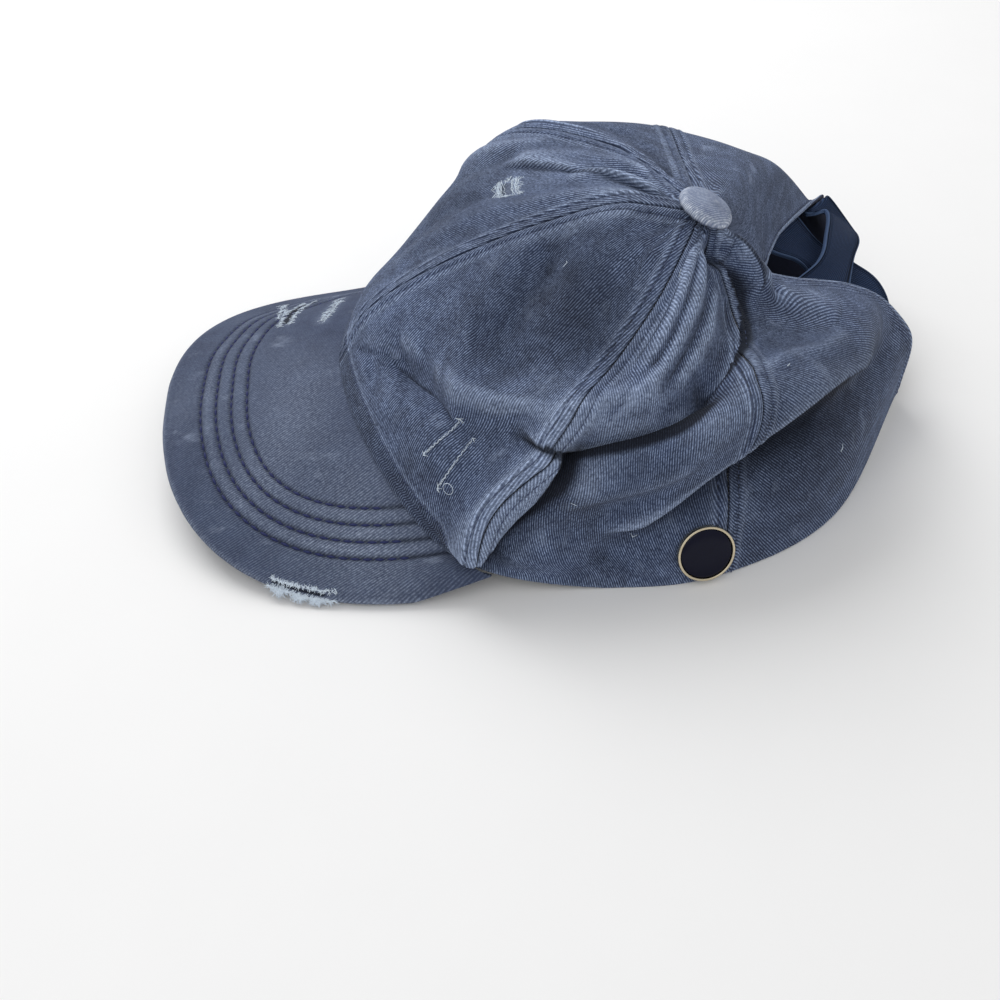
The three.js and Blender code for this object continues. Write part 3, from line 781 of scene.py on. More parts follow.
def panelShades(ats, ups, dStart, dEnd, openStart, openEnd, rimAway, front):
    # how worn each place of a panel is, and how dark: mostly painted shade in hollows, creases, grooves and
    # under folds, with darker patches of cloth
    flatAt, flatUp = ats.ravel(), ups.ravel()
    calm = 1 - smoothStep(0.95, crown["nearTop"], ups)
    line = seam["rimStitch"]
    bend = readGrid(*bends, flatAt, flatUp).reshape(ats.shape)
    wear = smoothStep(0.04, 0.36, bend) * 0.66 + 0.08
    nearest = np.minimum(dStart, dEnd)
    openHere = np.where(dStart < dEnd, openStart, openEnd)
    wear += 0.45 * np.exp(-((nearest - 4.6) / 0.7) ** 2) * (1 - openHere) * calm
    wear += 0.3 * np.exp(-((nearest - 0.9) / 0.5) ** 2) * (1 - openHere)
    wear += 0.6 * (1 - smoothStep(1.9, 2.4, nearest)) * openHere
    # painted shade: hollows and creases darker
    depth = smoothStep(0.08, 0.55, -bend) * 0.62
    # painted shade in the grooves along the opening's hem, at the seam line between panels and at the seam
    # stitches
    depth += 0.5 * np.exp(-((nearest - 2.5) / 0.4) ** 2) * openHere
    depth += 0.55 * np.exp(-(nearest / 0.32) ** 2) * (1 - openHere)
    depth += 0.35 * np.exp(-((nearest - seam["stitch"]) / 0.5) ** 2) * (1 - openHere)
    # the front's hem strip below the rim stitch is darker, and the rim stitch's groove is painted in shade
    strip = 1 - smoothStep(line - 1, line, rimAway)
    depth += front * (0.42 * strip + 0.4 * np.exp(-((rimAway - line) / 0.5) ** 2))
    wear += front * 0.4 * np.exp(-((rimAway - line - 1.2) / 0.6) ** 2) + 0.4 * np.exp(-(rimAway / 0.9) ** 2)
    # painted shadow under the lips darkens the cloth, and their edges are paler
    lipShadow, lipPale = lipShades(flatAt, flatUp)
    depth += lipShadow.reshape(ats.shape)
    wear += lipPale.reshape(ats.shape)
    # worn places add wear; darker ones add painted shade and darker cloth, and take wear away
    for mark in wearAndShadePatches:
        if mark[-1] > 0:
            wear += cover(mark, ats, ups)
        else:
            depth += cover(mark, ats, ups)
            wear *= 1 - 0.5 * cover(mark, ats, ups)
    x, y = patchPlace(ats, ups)
    ragged = 0.5 * np.sin(y * 2.1 + 0.6) + 0.4 * np.sin(y * 5.3)
    wide, tall = patch["wide"] / 2, patch["tall"] / 2
    inPatch = ((1 - smoothStep(wide - 0.5, wide + 0.5, np.abs(x) + ragged))
               * (1 - smoothStep(tall - 0.6, tall + 0.6, np.abs(y) + 0.4 * np.sin(x * 3))))
    wear += 0.9 * inPatch
    # the slits are painted near-black as the shade inside them
    for slit in patch["slits"]:
        depth += 1.4 * inPatch * np.exp(-((y - slit) / 0.34) ** 2) * (np.abs(x) < 4.2)
    return wear, depth


def makePanel(name, start, middle):
    ats, ups = panelGrid(start, middle)
    shape = ats.shape
    flatAt, flatUp = ats.ravel(), ups.ravel()
    p = fineCloth(flatAt, flatUp).reshape(*shape, 3)
    outward = gridNormals(p)
    widths = arcs(p, 1)
    dStart = widths + seam["gap"]
    dEnd = widths[:, -1:] - widths + seam["gap"]
    top = crown["slitTop"]
    openStart = (1 - smoothStep(top - 0.02, top + 0.01, ups)) if start == -3 else 0 * ups
    openEnd = (1 - smoothStep(top - 0.02, top + 0.01, ups)) if start == 2 else 0 * ups
    rimAway = arcs(p, 0)
    calm = 1 - smoothStep(0.95, crown["nearTop"], ups)
    height = (seamHeight(dStart, openStart) + seamHeight(dEnd, openEnd)) * calm
    front = 1 - smoothStep(0.93, 0.99, np.abs(ats))
    line = seam["rimStitch"]
    turnUp = 0.25 * (1 - smoothStep(line, line + 1.2, rimAway))
    height += front * (stitchGroove(rimAway, line, 0.3, 0.5) + turnUp)
    flatEdge = smoothStep(0, 2, rimAway)
    p = p + outward * (height * flatEdge)[..., None]
    p[..., 2] = np.maximum(p[..., 2], 0)
    outward = gridNormals(p)
    outward[..., 2] *= smoothStep(0, 3, rimAway)
    outward = unit(outward)
    if start in (-3, 2):
        # both back panels face the same way along the seam above the opening
        edge = np.full(shape[0], 3.0)
        rowUp = ups[:, 0]
        shared = unit(normalOf(mainCloth, edge, rowUp) + normalOf(mainCloth, -edge, rowUp))
        share = (smoothStep(2.8, 3, np.abs(ats)) * smoothStep(top - 0.1, top, ups))[..., None]
        outward = unit(outward * (1 - share) + shared[:, None] * share)
    half = crown["cloth"] / 2
    edgeAway = np.minimum(np.minimum(dStart, dEnd) - seam["gap"], rimAway)
    thick = half * np.sqrt(np.clip(1 - (1 - np.clip(edgeAway / half, 0, 1)) ** 2, 0.0025, 1))
    outer = p + outward * thick[..., None]
    inner = p - outward * thick[..., None]
    outer[..., 2] = np.maximum(outer[..., 2], 0)
    inner[..., 2] = np.maximum(inner[..., 2], 0)
    points = (np.concatenate([outer.reshape(-1, 3), inner.reshape(-1, 3)]) + setDown) * mm
    faces = shellFaces(*shape)
    everyFace = np.concatenate(faces)
    kinds = np.concatenate([np.zeros(len(faces[0])), np.ones(len(faces[1])), np.zeros(len(faces[2]))])
    # flat pattern in millimetres for the weave
    u = smoothed(widths - widths[:, -1:] / 2, 0, 14)
    v = smoothed(rimAway, 1, 10) + 40
    uv = np.stack([u + start * 131.0, v], -1).reshape(-1, 2)
    wear, depth = panelShades(ats, ups, dStart, dEnd, openStart, openEnd, rimAway, front)
    stitchLines.extend(linesAt(outer, outward, dStart, seam["stitch"], 1))
    stitchLines.extend(linesAt(outer, outward, dEnd, seam["stitch"], 1))
    if abs(start + 0.5) < 1:
        stitchLines.extend(linesAt(outer, outward, rimAway, seam["rimStitch"], 0))
    crownTwill = crownTwills[name.split("_")[1]]
    piece = meshPiece(name + "_cloth", points, everyFace, [crownTwill, shadedInsideCloth], kinds,
                      np.tile(uv, (2, 1)), attributesOf(wear, depth))
    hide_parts(name)
    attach(piece, "root")
    return piece


for panelName, (panelStart, panelMiddle) in panels.items():
    makePanel(panelName, panelStart, panelMiddle)

# peak
peak = {
    "length": 59,
    "corner": 90,
    "sweep": 44,
    "radius": 115,
    "taper": 0.2537,
    "crest": 31,
    "tipHeight": 15,
    "thickness": 2.6,
    "end": 1.13,
    "columns": 300,
    "rows": 118,
    "rowLines": (13.2, 18.4, 23.6, 28.8),
    "grooveDepth": 0.6,
    "grooveWidth": 0.8,
}


def peakOuter(u):
    a = u * peak["corner"]
    b = -peak["sweep"] + (peak["length"] + peak["sweep"]) * (1 - np.abs(u) ** 2.45) ** (1 / 2.4)
    radius = peak["radius"] * (1 + peak["taper"] * b / peak["length"])
    crest = peak["crest"] + (peak["tipHeight"] - peak["crest"]) * b / peak["length"]
    return np.stack([radius * np.sin(a / radius), -crown["halfSizes"][1] * 1.02 - b,
                     crest - radius * (1 - np.cos(a / radius))], 1)


def peakInner(u):
    at = u * peak["end"]
    rim = mainCloth(at, np.zeros(len(at)))
    away = normalOf(mainCloth, at, np.zeros(len(at)))
    away[:, 2] = 0
    away = unit(away)
    tuck = 2.4 * (1 - smoothStep(0.82, 0.97, np.abs(u)))
    inner = rim + away * (1.6 - tuck + 0.8 * smoothStep(0.7, 1, np.abs(u)))[:, None]
    inner[:, 2] += peak["thickness"] / 2 - 2.3 * (1 - smoothStep(0.82, 0.97, np.abs(u)))
    return inner


def distanceTo(points, line):
    # least distance from every point to a fine polyline
    least = np.full(len(points), 1e9)
    for start in range(0, len(points), 4000):
        block = points[start:start + 4000]
        least[start:start + 4000] = np.sqrt(((block[:, None] - line[None]) ** 2).sum(2)).min(1)
    return least


peakTwillColours = dict(twill, dark=linear(46, 54, 77), mid=linear(62, 72, 96), light=linear(98, 111, 138),
                        worn=linear(156, 168, 190), lines=0.65, bump=0.6)
peakTwill = makeTwill("peak twill", math.radians(27), peakTwillColours)


def makePeak():
    columns, rows = peak["columns"], peak["rows"]
    u = np.sin(np.linspace(-1, 1, columns) * (math.pi / 2)) * 0.985
    outerLine = peakOuter(u)
    innerLine = peakInner(u)
    fineLine = peakOuter(np.sin(np.linspace(-1, 1, 900) * (math.pi / 2)) * 0.9999)
    reach = np.linalg.norm(outerLine - innerLine, axis=1)
    edge = np.array([0, 0.05, 0.2, 0.45, 0.8, 1.3])
    shares = []
    for k in range(columns):
        near = edge / max(reach[k], 6)
        body = np.linspace(0, 1 - 1.9 / max(reach[k], 6), rows - len(edge))
        shares.append(np.concatenate([body, 1 - near[::-1]]))
    t = np.array(shares).T
    p = innerLine[None] * (1 - t[..., None]) + outerLine[None] * t[..., None]
    up = gridNormals(p)
    if up[rows // 2, columns // 2, 2] < 0:
        up = -up
    away = distanceTo(p.reshape(-1, 3), fineLine).reshape(rows, columns)
    x, y = p[..., 0], p[..., 1]
    # the board is a little uneven under its cloth
    ripple = (0.35 * np.sin(x * 0.09 + 1.3) * np.sin(y * 0.07 + 0.4) + 0.2 * np.sin(x * 0.21 - y * 0.13))
    lift = ripple * smoothStep(1, 12, away)
    for line in peak["rowLines"]:
        lift = lift - peak["grooveDepth"] * np.exp(-((away - line) / peak["grooveWidth"]) ** 2)
    between = smoothStep(12.6, 14.2, away) * (1 - smoothStep(28, 30, away))
    lift = lift + 0.16 * between
    half = peak["thickness"] / 2
    thick = half * np.sqrt(np.clip(1 - (1 - np.clip(away / half, 0, 1)) ** 2, 0.002, 1))
    top = p + up * (thick + lift * (away > 0.5))[..., None]
    low = p - up * thick[..., None]
    for grid in (top, low):
        grid[..., 2] = np.maximum(grid[..., 2], 0)
    outer, inner, sides = shellFaces(rows, columns)
    faces = np.concatenate([outer, inner, sides])[:, ::-1]
    points = (np.concatenate([top.reshape(-1, 3), low.reshape(-1, 3)]) + setDown) * mm
    barrel = peak["radius"] * np.arcsin(np.clip(x / peak["radius"], -0.98, 0.98))
    uv = np.stack([barrel + 900, -y], -1).reshape(-1, 2)
    wear = 0.10 + 0.55 * np.exp(-(away / 1.1) ** 2) + 0.18 * np.exp(-((away - 15.8) / 0.8) ** 2)
    wear = wear + 0.12 * between
    # washed places, and painted light and shade, on the peak
    for wx, wy, size, amount in peakWashAndLightPatches:
        wear = wear + amount * np.exp(-(((x - wx) ** 2 + (y - wy) ** 2) / size ** 2))
    depth = 0 * away
    # painted shade in the stitched grooves
    for line in peak["rowLines"]:
        depth = depth + 0.75 * np.exp(-((away - line) / 0.75) ** 2)
    for line, width, paler, darker in peakMarks:
        spots = np.array(line, float)
        t = np.linspace(0, 1, 40)
        places = np.linspace(0, 1, len(spots))
        way = np.stack([np.interp(t, places, spots[:, 0]), np.interp(t, places, spots[:, 1]), 0 * t], 1)
        off = distanceTo(np.stack([x, y, 0 * x], -1).reshape(-1, 3), way).reshape(x.shape)
        wear = wear + paler * np.exp(-(off / width) ** 2)
        depth = depth + darker * np.exp(-(off / (0.36 * width)) ** 2)
    # the near edge is worn through
    wornX, wornY = peakOuter(np.array([wornEdge["middle"]]))[0][:2]
    worn = 1 - smoothStep(wornEdge["half"] - 1.4, wornEdge["half"], np.hypot(x - wornX, y - wornY))
    # a dark line just inside the worn edge is painted shade in the split
    depth = depth + 1.5 * worn * np.exp(-((away - 1.4) / 0.46) ** 2)
    wear = wear + worn * (0.9 * np.exp(-((away - 2.5) / 0.6) ** 2) + 0.8 * np.exp(-(away / 0.7) ** 2))
    piece = meshPiece("peak_cloth", points, faces, [peakTwill], None, np.tile(uv, (2, 1)),
                      attributesOf(wear, depth))
    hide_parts("peak")
    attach(piece, "root")
    return top, up, away


# the stretch of the near edge that has worn through
wornEdge = {"middle": 0.88, "half": 9.2, "turn": (0.83, 0.93)}
# paler places on the peak, partly washed cloth and partly painted light that brightens the near side; the one
# below nought is painted shade on the far side: x, y, size and amount
peakWashAndLightPatches = [
    (8, -112, 16, 0.25),
    (58, -104, 20, 0.30),
    (70, -88, 16, 0.30),
    (44, -92, 16, 0.15),
    (-30, -96, 26, -0.12),
    (26, -118, 14, 0.3),
    (40, -126, 10, 0.2),
    (-10, -120, 18, 0.12),
    (4, -152, 14, 0.18),
]
# torn and rubbed lines on the peak: way, width, how much paler and how much darker in the middle; the dark
# middle of a tear is painted shade inside it
peakMarks = [
    ([(-34, -119.5), (-40, -118.5), (-46, -117.5), (-52, -115)], 2.8, 0.6, 1.8),
    ([(-28, -106.5), (-37, -104), (-49, -101)], 2.2, 0.8, 0.3),
    ([(-60, -112), (-58, -102), (-56, -94)], 1.6, 0.4, 0.0),
]
peakTop, peakUp, peakAway = makePeak()

# stitches
# how long a stitch is, how far apart, how thick, how deep it lies and how far it turns
stitch = {
    "peak": (2.9, 0.75, 1.0, -0.12, 0.03),
    "crown": (2.3, 0.6, 0.5, -0.02, 0.02),
}


def makeStitchShape():
    # one stitch, lying along x: a cylinder with rounded ends that dip into the cloth
    bpy.ops.mesh.primitive_cylinder_add(vertices=6, radius=0.5, depth=1.0, end_fill_type="NGON",
                                        rotation=(0, math.pi / 2, 0))
    shape = bpy.context.object
    shape.name = "stitch shape"
    bpy.ops.object.transform_apply(rotation=True)
    bpy.ops.object.mode_set(mode="EDIT")
    bpy.ops.mesh.select_all(action="SELECT")
    bpy.ops.mesh.bisect(plane_co=(0, 0, 0), plane_no=(1, 0, 0))
    bpy.ops.object.mode_set(mode="OBJECT")
    points = np.array([v.co[:] for v in shape.data.vertices])
    faces = [list(f.vertices) for f in shape.data.polygons]
    # narrow the ends and sink them
    end = np.abs(points[:, 0]) > 0.4
    points[end, 1:] *= 0.55
    points[end, 2] -= 0.35
    bpy.data.objects.remove(shape)
    return points, faces


stitchPoints, stitchFaces = makeStitchShape()


def resample(line, pitch):
    steps = np.linalg.norm(np.diff(line, axis=0), axis=1)
    length = np.concatenate([[0], np.cumsum(steps)])
    count = max(int(length[-1] / pitch), 2)
    places = (np.arange(count) + 0.5) * length[-1] / count
    return np.stack([np.interp(places, length, line[:, k]) for k in range(line.shape[1])], 1)


def looseShapes(name, points, faces, material):
    # many small shapes as one piece, from millimetres before setting down
    mesh = bpy.data.meshes.new(name)
    mesh.from_pydata(((points + setDown) * mm).tolist(), [], faces)
    mesh.materials.append(material)
    mesh.update()
    piece = bpy.data.objects.new(name, mesh)
    bpy.context.scene.collection.objects.link(piece)
    return piece


def layStitches(name, lines, material, slotName, length, gap, thread, sink, wobble):
    # copies of the stitch along lines of [point, normal], in millimetres before setting down
    generator = np.random.default_rng(7)
    allPoints, allFaces, count = [], [], 0
    for line in lines:
        spots = resample(line, length + gap)
        tangent = unit(np.gradient(spots[:, :3], axis=0))
        normal = unit(spots[:, 3:6])
        side = unit(np.cross(normal, tangent))
        for k in range(len(spots)):
            turn = generator.normal(0, wobble)
            t = unit(tangent[k] + side[k] * turn)
            b = unit(np.cross(normal[k], t))
            shape = (stitchPoints[:, :1] * length * t + stitchPoints[:, 1:2] * thread * b
                     + stitchPoints[:, 2:3] * thread * normal[k])
            allPoints.append(shape + spots[k, :3] - normal[k] * sink)
            allFaces += [[v + count for v in f] for f in stitchFaces]
            count += len(stitchPoints)
    piece = looseShapes(name, np.concatenate(allPoints), allFaces, material)
    piece.data.polygons.foreach_set("use_smooth", np.ones(len(allFaces), bool))
    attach(piece, "root")
    print(name, count // len(stitchPoints), "stitches")


navyThread = makePlain("navy thread", linear(24, 34, 84), 0.75, grainScale=2500.0, amount=0.3)
blueThread = makePlain("blue thread", linear(58, 69, 100), 0.8, grainScale=2500.0, amount=0.35)
paleThread = makePlain("pale thread", linear(202, 214, 234), 0.95, grainScale=1600.0, amount=0.35)


def peakRows():
    lines = []
    for line in peak["rowLines"]:
        spots = []
        for k in range(peakAway.shape[1]):
            d = peakAway[:, k]
            inside = np.nonzero((d[:-1] >= line) & (d[1:] < line))[0]
            if len(inside) == 0:
                continue
            i = inside[-1]
            f = (d[i] - line) / (d[i] - d[i + 1])
            point = peakTop[i, k] * (1 - f) + peakTop[i + 1, k] * f
            spots.append(np.concatenate([point, peakUp[i, k]]))
        lines.append(np.array(spots))
    return lines


layStitches("peak_stitching", peakRows(), navyThread, "peak_twill", *stitch["peak"])
layStitches("crown_stitching", stitchLines, blueThread, "crown_twill", *stitch["crown"])


# frayed and loose threads
def makeFibreShape():
    bpy.ops.mesh.primitive_cylinder_add(vertices=5, radius=0.5, depth=1.25, rotation=(0, math.pi / 2, 0))
    shape = bpy.context.object
    bpy.ops.object.transform_apply(rotation=True)
    points = np.array([v.co[:] for v in shape.data.vertices])
    faces = [list(f.vertices) for f in shape.data.polygons]
    bpy.data.objects.remove(shape)
    return points, faces


fibreShape = makeFibreShape()
fibre = {"pitch": 0.62, "thick": 0.17}
fray = np.random.default_rng(11)


def onCloth(at, up, lift):
    at, up = np.atleast_1d(np.asarray(at, float)), np.atleast_1d(np.asarray(up, float))
    outward = normalOf(fineCloth, at, up)
    lifts = crown["cloth"] / 2 + np.broadcast_to(lift, at.shape)[:, None]
    return np.concatenate([fineCloth(at, up) + outward * lifts, outward], 1)


def onPeak(x, y, lift):
    # the peak's upper face over a place on the table
    flat = peakTop[..., :2].reshape(-1, 2)
    places = [((flat - (a, b)) ** 2).sum(1).argmin() for a, b in zip(np.atleast_1d(x), np.atleast_1d(y))]
    normals = peakUp.reshape(-1, 3)[places]
    return np.concatenate([peakTop.reshape(-1, 3)[places] + normals * lift, normals], 1)


def curls(spots, count, length, stand=0.5, along=None):
    # short bent fibres that start at random spots and lean one way or any way
    ways = []
    for k in range(count):
        spot = spots[fray.integers(len(spots))]
        normal = spot[3:]
        lean = fray.normal(size=3) if along is None else along + 0.45 * fray.normal(size=3)
        lean = unit(lean - normal * lean.dot(normal))
        bend = unit(np.cross(normal, lean)) * fray.normal(0, 0.4)
        size = length * fray.uniform(0.5, 1.2)
        t = np.linspace(0, 1, 7)[:, None]
        way = spot[:3] + size * (lean * t + bend * t * t) + normal * stand * size * (t - 1.1 * t * t)
        ways.append(np.concatenate([way, np.repeat(normal[None], 7, 0)], 1))
    return ways


def wavy(first, last, lift, sway, waves):
    # a thread over the crown's cloth from one place to another
    t = np.linspace(0, 1, 40)
    at = first[0] + (last[0] - first[0]) * t + sway * np.sin(t * waves * 2 * math.pi) / 60
    up = first[1] + (last[1] - first[1]) * t + sway * np.cos(t * waves * 5.3) / 150
    return onCloth(at, up, lift * (0.4 + 0.6 * np.abs(np.sin(t * waves * math.pi * 1.7))))


def crownFray():
    ways = []
    slashes = [((0.58, 0.225), (0.58, 0.375)), ((0.74, 0.205), (0.70, 0.365))]
    for first, last in slashes:
        for k in range(2):
            ways.append(wavy(first, last, 0.35, 0.30, 9 + 3 * k))
        ends = onCloth([last[0], first[0]], [last[1], first[1]], 0.1)
        ways += curls(ends, 9, 1.3)
    # a small loop at the foot of the second slash
    turn = np.linspace(0, 2 * math.pi * 1.05, 40)
    ways.append(onCloth(0.755 + 0.030 * (1 - np.cos(turn)), 0.235 + 0.013 * np.sin(turn), 0.9))
    # the frayed patch: threads up and down, and a ragged edge
    for k in range(38):
        y = fray.uniform(-patch["tall"] / 2, patch["tall"] / 2)
        if min(abs(y - slit) for slit in patch["slits"]) < 0.4:
            continue
        low = -patch["wide"] / 2 + fray.uniform(-0.8, 1.2)
        high = patch["wide"] / 2 + fray.uniform(-1.2, 0.8)
        x = np.linspace(low, high, 16)
        y = y + 0.2 * np.sin(x * fray.uniform(1, 2) + fray.uniform(0, 6))
        ways.append(onCloth(patch["at"] + x / patch["pace"], patch["up"] + y / crown["panelHeight"],
                            fray.uniform(0.05, 0.4)))
    rim = []
    for k in range(40):
        x, y = fray.uniform(-1, 1), fray.uniform(-1, 1)
        if abs(x) < abs(y):
            x, y = x, math.copysign(1, y)
        else:
            x, y = math.copysign(1, x), y
        rim.append((patch["at"] + x * patch["wide"] / 2 / patch["pace"],
                    patch["up"] + y * patch["tall"] / 2 / crown["panelHeight"]))
    ways += curls(onCloth([q[0] for q in rim], [q[1] for q in rim], 0.05), 60, 1.5)
    # loose ends and flecks
    ways.append(wavy((1.17, 0.855), (1.20, 0.835), 0.5, 0.5, 2))
    flecks = onCloth([1.40, 1.60, 2.50, 2.16, 0.30, 1.30], [0.50, 0.13, 0.22, 0.52, 0.70, 0.30], 0.1)
    ways += curls(flecks, 12, 1.4)
    return ways


# torn places on the peak: the middle line of each, in millimetres over the table
tears = {
    "hole": [(-32, -120), (-40, -119), (-48, -117), (-56, -112.5)],
    "hole edge": [(-40, -122), (-50, -122), (-61, -123)],
    "second": [(-28, -106.5), (-37, -104), (-49, -101)],
}


def peakFray():
    ways = []
    for key, line in tears.items():
        points = np.array(line, float)
        t = np.linspace(0, 1, 30)
        places = np.linspace(0, 1, len(points))
        x, y = np.interp(t, places, points[:, 0]), np.interp(t, places, points[:, 1])
        for side in (-1, 1):
            spots = onPeak(x, y + side * (2.0 if key == "hole" else 0.8), 0.05)
            ways += curls(spots, 130 if key == "hole" else 90, 1.25, 0.5)
    # along the near edge the cloth has worn through and fluffs out
    turn = np.linspace(*wornEdge["turn"], 46)
    edge = peakOuter(turn)
    away = unit(np.gradient(edge, axis=0))
    out = unit(np.cross(away, np.array([0, 0, 1.0])))
    if out[20].dot(edge[20] * (1, 1, 0) + (0, 100, 0)) < 0:
        out = -out
    upNormal = np.tile(np.array([0, 0, 1.0]), (len(turn), 1))
    inside = edge - out * 1.4
    inner = onPeak(inside[:, 0], inside[:, 1], 0.05)
    outer = np.concatenate([edge + out * 0.6 + upNormal * 0.7, unit(upNormal + out)], 1)
    ways += curls(inner, 230, 0.9, 0.5)
    ways += curls(outer, 380, 1.2, 0.6)
    for place in (7, 22, 33):
        ways += curls(outer[place:place + 5], 90, 2.0, 0.3, along=out[place])
    return ways


def layFibres(name, ways):
    # lay the fibre end to end along every way
    allPoints, allFaces, count = [], [], 0
    points, faces = fibreShape
    for way in ways:
        spots = resample(way, fibre["pitch"])
        if len(spots) < 2:
            continue
        tangent = unit(np.gradient(spots[:, :3], axis=0))
        normal = unit(spots[:, 3:6])
        side = unit(np.cross(normal, tangent))
        over = np.cross(tangent, side)
        step = np.linalg.norm(np.diff(spots[:, :3], axis=0), axis=1).mean()
        for k in range(len(spots)):
            thick = fibre["thick"] * (1 - 0.4 * k / len(spots))
            shape = (points[:, :1] * step * tangent[k] + points[:, 1:2] * thick * side[k]
                     + points[:, 2:3] * thick * over[k])
            allPoints.append(shape + spots[k, :3])
            allFaces += [[v + count for v in f] for f in faces]
            count += len(points)
    flat = np.concatenate(allPoints)
    flat[:, 2] = np.maximum(flat[:, 2], 0.02)
    piece = looseShapes(name, flat, allFaces, paleThread)
    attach(piece, "root")
    print(name, len(allFaces), "faces")


layFibres("crown_fray", crownFray())
layFibres("peak_fray", peakFray())

# straps
straps = {
    "strap_over": {
        "from": (0.22, 0.03), "to": (0.66, 0.50),
        "stations": [
            (0.25, (-0.72, 0.74, 0.50), (-0.85, 0.89, 0.33)),
            (0.50, (-0.47, 0.68, 0.54), (-0.66, 0.87, 0.38)),
            (0.75, (-0.24, 0.60, 0.56), (-0.43, 0.79, 0.43)),
        ],
    },
    "strap_under": {
        "from": (0.57, 0.29), "to": (0.28, 0.04),
        "stations": [
            (0.30, (-0.28, 0.54, 0.54), (-0.57, 0.70, 0.43)),
            (0.60, (-0.27, 0.62, 0.45), (-0.52, 0.82, 0.36)),
            (0.80, (-0.21, 0.76, 0.36), (-0.36, 0.92, 0.28)),
        ],
    },
}
elastic = {"thickness": 1.4, "columns": 46, "rows": 150, "welt": 1.5, "clear": 1.3, "rib": 0.95, "pick": 0.7}


def makeElastic():
    material, tree, shader = newMaterial("ribbed elastic")
    n = Nodes(tree)
    uvNode = tree.nodes.new("ShaderNodeUVMap")
    uvNode.uv_map = "cloth"
    split = tree.nodes.new("ShaderNodeSeparateXYZ")
    n.feed(split.inputs[0], uvNode.outputs[0])
    ribs = n.wave(n.math("MULTIPLY", split.outputs[0], 2 * math.pi / elastic["rib"]))
    picks = n.wave(n.math("MULTIPLY", split.outputs[1], 2 * math.pi / elastic["pick"]))
    weave = n.math("MULTIPLY", ribs, picks)
    grain = n.noise(uvNode.outputs[0], 2.2, 2.0)
    shine = n.math("MULTIPLY", weave, n.range(grain, 0.3, 0.7, 0.5, 1.0))
    base = n.mix(shine, linear(16, 28, 52), linear(66, 90, 130))
    base = n.mix(n.math("MULTIPLY", n.number("wear"), 0.8), base, linear(92, 114, 150))
    # painted shade: depth darkens the welt's grooves
    base = n.mix(n.number("depth"), base, linear(6, 9, 20))
    n.feed(shader.inputs["Base Color"], base)
    shader.inputs["Roughness"].default_value = 0.85
    shader.inputs["Specular IOR Level"].default_value = 0.12
    bump = tree.nodes.new("ShaderNodeBump")
    bump.inputs["Strength"].default_value = 0.7
    bump.inputs["Distance"].default_value = 0.0003
    n.feed(bump.inputs["Height"], weave)
    n.feed(shader.inputs["Normal"], bump.outputs[0])
    return material


elasticMaterial = makeElastic()


def underHem(at, up):
    at, up = np.array([at], float), np.array([up], float)
    depth = (1.6 + elastic["thickness"]) / 2 + elastic["clear"]
    return (mainCloth(at, up) - normalOf(mainCloth, at, up) * depth)[0]


def makeStrap(name, spec):
    edges = []
    for k in range(2):
        places = [0, 0.09] + [row[0] for row in spec["stations"]] + [0.91, 1]
        values = [underHem(-3 + 0.08, spec["from"][k]), underHem(-2.999, spec["from"][k])]
        values += [np.array(row[k + 1]) * halfSizes for row in spec["stations"]]
        values += [underHem(2.999, spec["to"][k]), underHem(3 - 0.08, spec["to"][k])]
        s = np.linspace(0, 1, elastic["rows"])
        edges.append(hermite(places, np.array(values), s))
    width = np.linalg.norm(edges[0] - edges[1], axis=1).mean()
    near = np.array([0, 0.1, 0.3, 0.6, 0.95, 1.25, 1.5, 1.75, 2.1, 2.5, 2.75, 2.95, 3.2, 3.6]) / width
    body = np.linspace(near[-1], 1 - near[-1], elastic["columns"] - 2 * len(near) + 2)[1:-1]
    w = np.concatenate([near, body, 1 - near[::-1]])
    p = edges[0][:, None] * (1 - w[None, :, None]) + edges[1][:, None] * w[None, :, None]
    out = -gridNormals(p)
    away = np.minimum(w, 1 - w)[None] * width
    lift = (-0.4 * np.exp(-((away - elastic["welt"]) / 0.4) ** 2) - 0.2 * np.exp(-((away - 2.9) / 0.35) ** 2)
            + 0.12 * np.exp(-((away - 0.7) / 0.5) ** 2))
    half = elastic["thickness"] / 2
    thick = half * np.sqrt(np.clip(1 - (1 - np.clip(away / half, 0, 1)) ** 2, 0.01, 1))
    top = p + out * (thick + lift)[..., None]
    low = p - out * (thick + lift)[..., None]
    outer, inner, sides = shellFaces(*p.shape[:2])
    faces = np.concatenate([outer, inner, sides])[:, ::-1]
    points = (np.concatenate([top.reshape(-1, 3), low.reshape(-1, 3)]) + setDown) * mm
    uv = np.stack([np.broadcast_to(w[None] * width, p.shape[:2]), arcs(p, 0)], -1).reshape(-1, 2)
    wear = np.broadcast_to(0.7 * np.exp(-((away - 0.5) / 0.5) ** 2), p.shape[:2])
    # painted shade in the welt's groove and the second groove beside it
    depth = np.broadcast_to(0.95 * np.exp(-((away - elastic["welt"]) / 0.4) ** 2)
                            + 0.5 * np.exp(-((away - 2.9) / 0.35) ** 2), p.shape[:2])
    piece = meshPiece(name + "_elastic", points, faces, [elasticMaterial], None, np.tile(uv, (2, 1)),
                      attributesOf(wear, depth))
    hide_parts(name)
    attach(piece, "root")


for strapName, strapSpec in straps.items():
    makeStrap(strapName, strapSpec)

# button
button = {
    "radius": 8.8,
    "axis": (0.0429, 0.4040, 0.9138),
}
buttonColours = dict(twill, pitch=0.6, dark=linear(84, 98, 131), mid=linear(130, 143, 172),
                     light=linear(194, 206, 226), worn=linear(226, 233, 244), lines=0.5, bump=0.8)


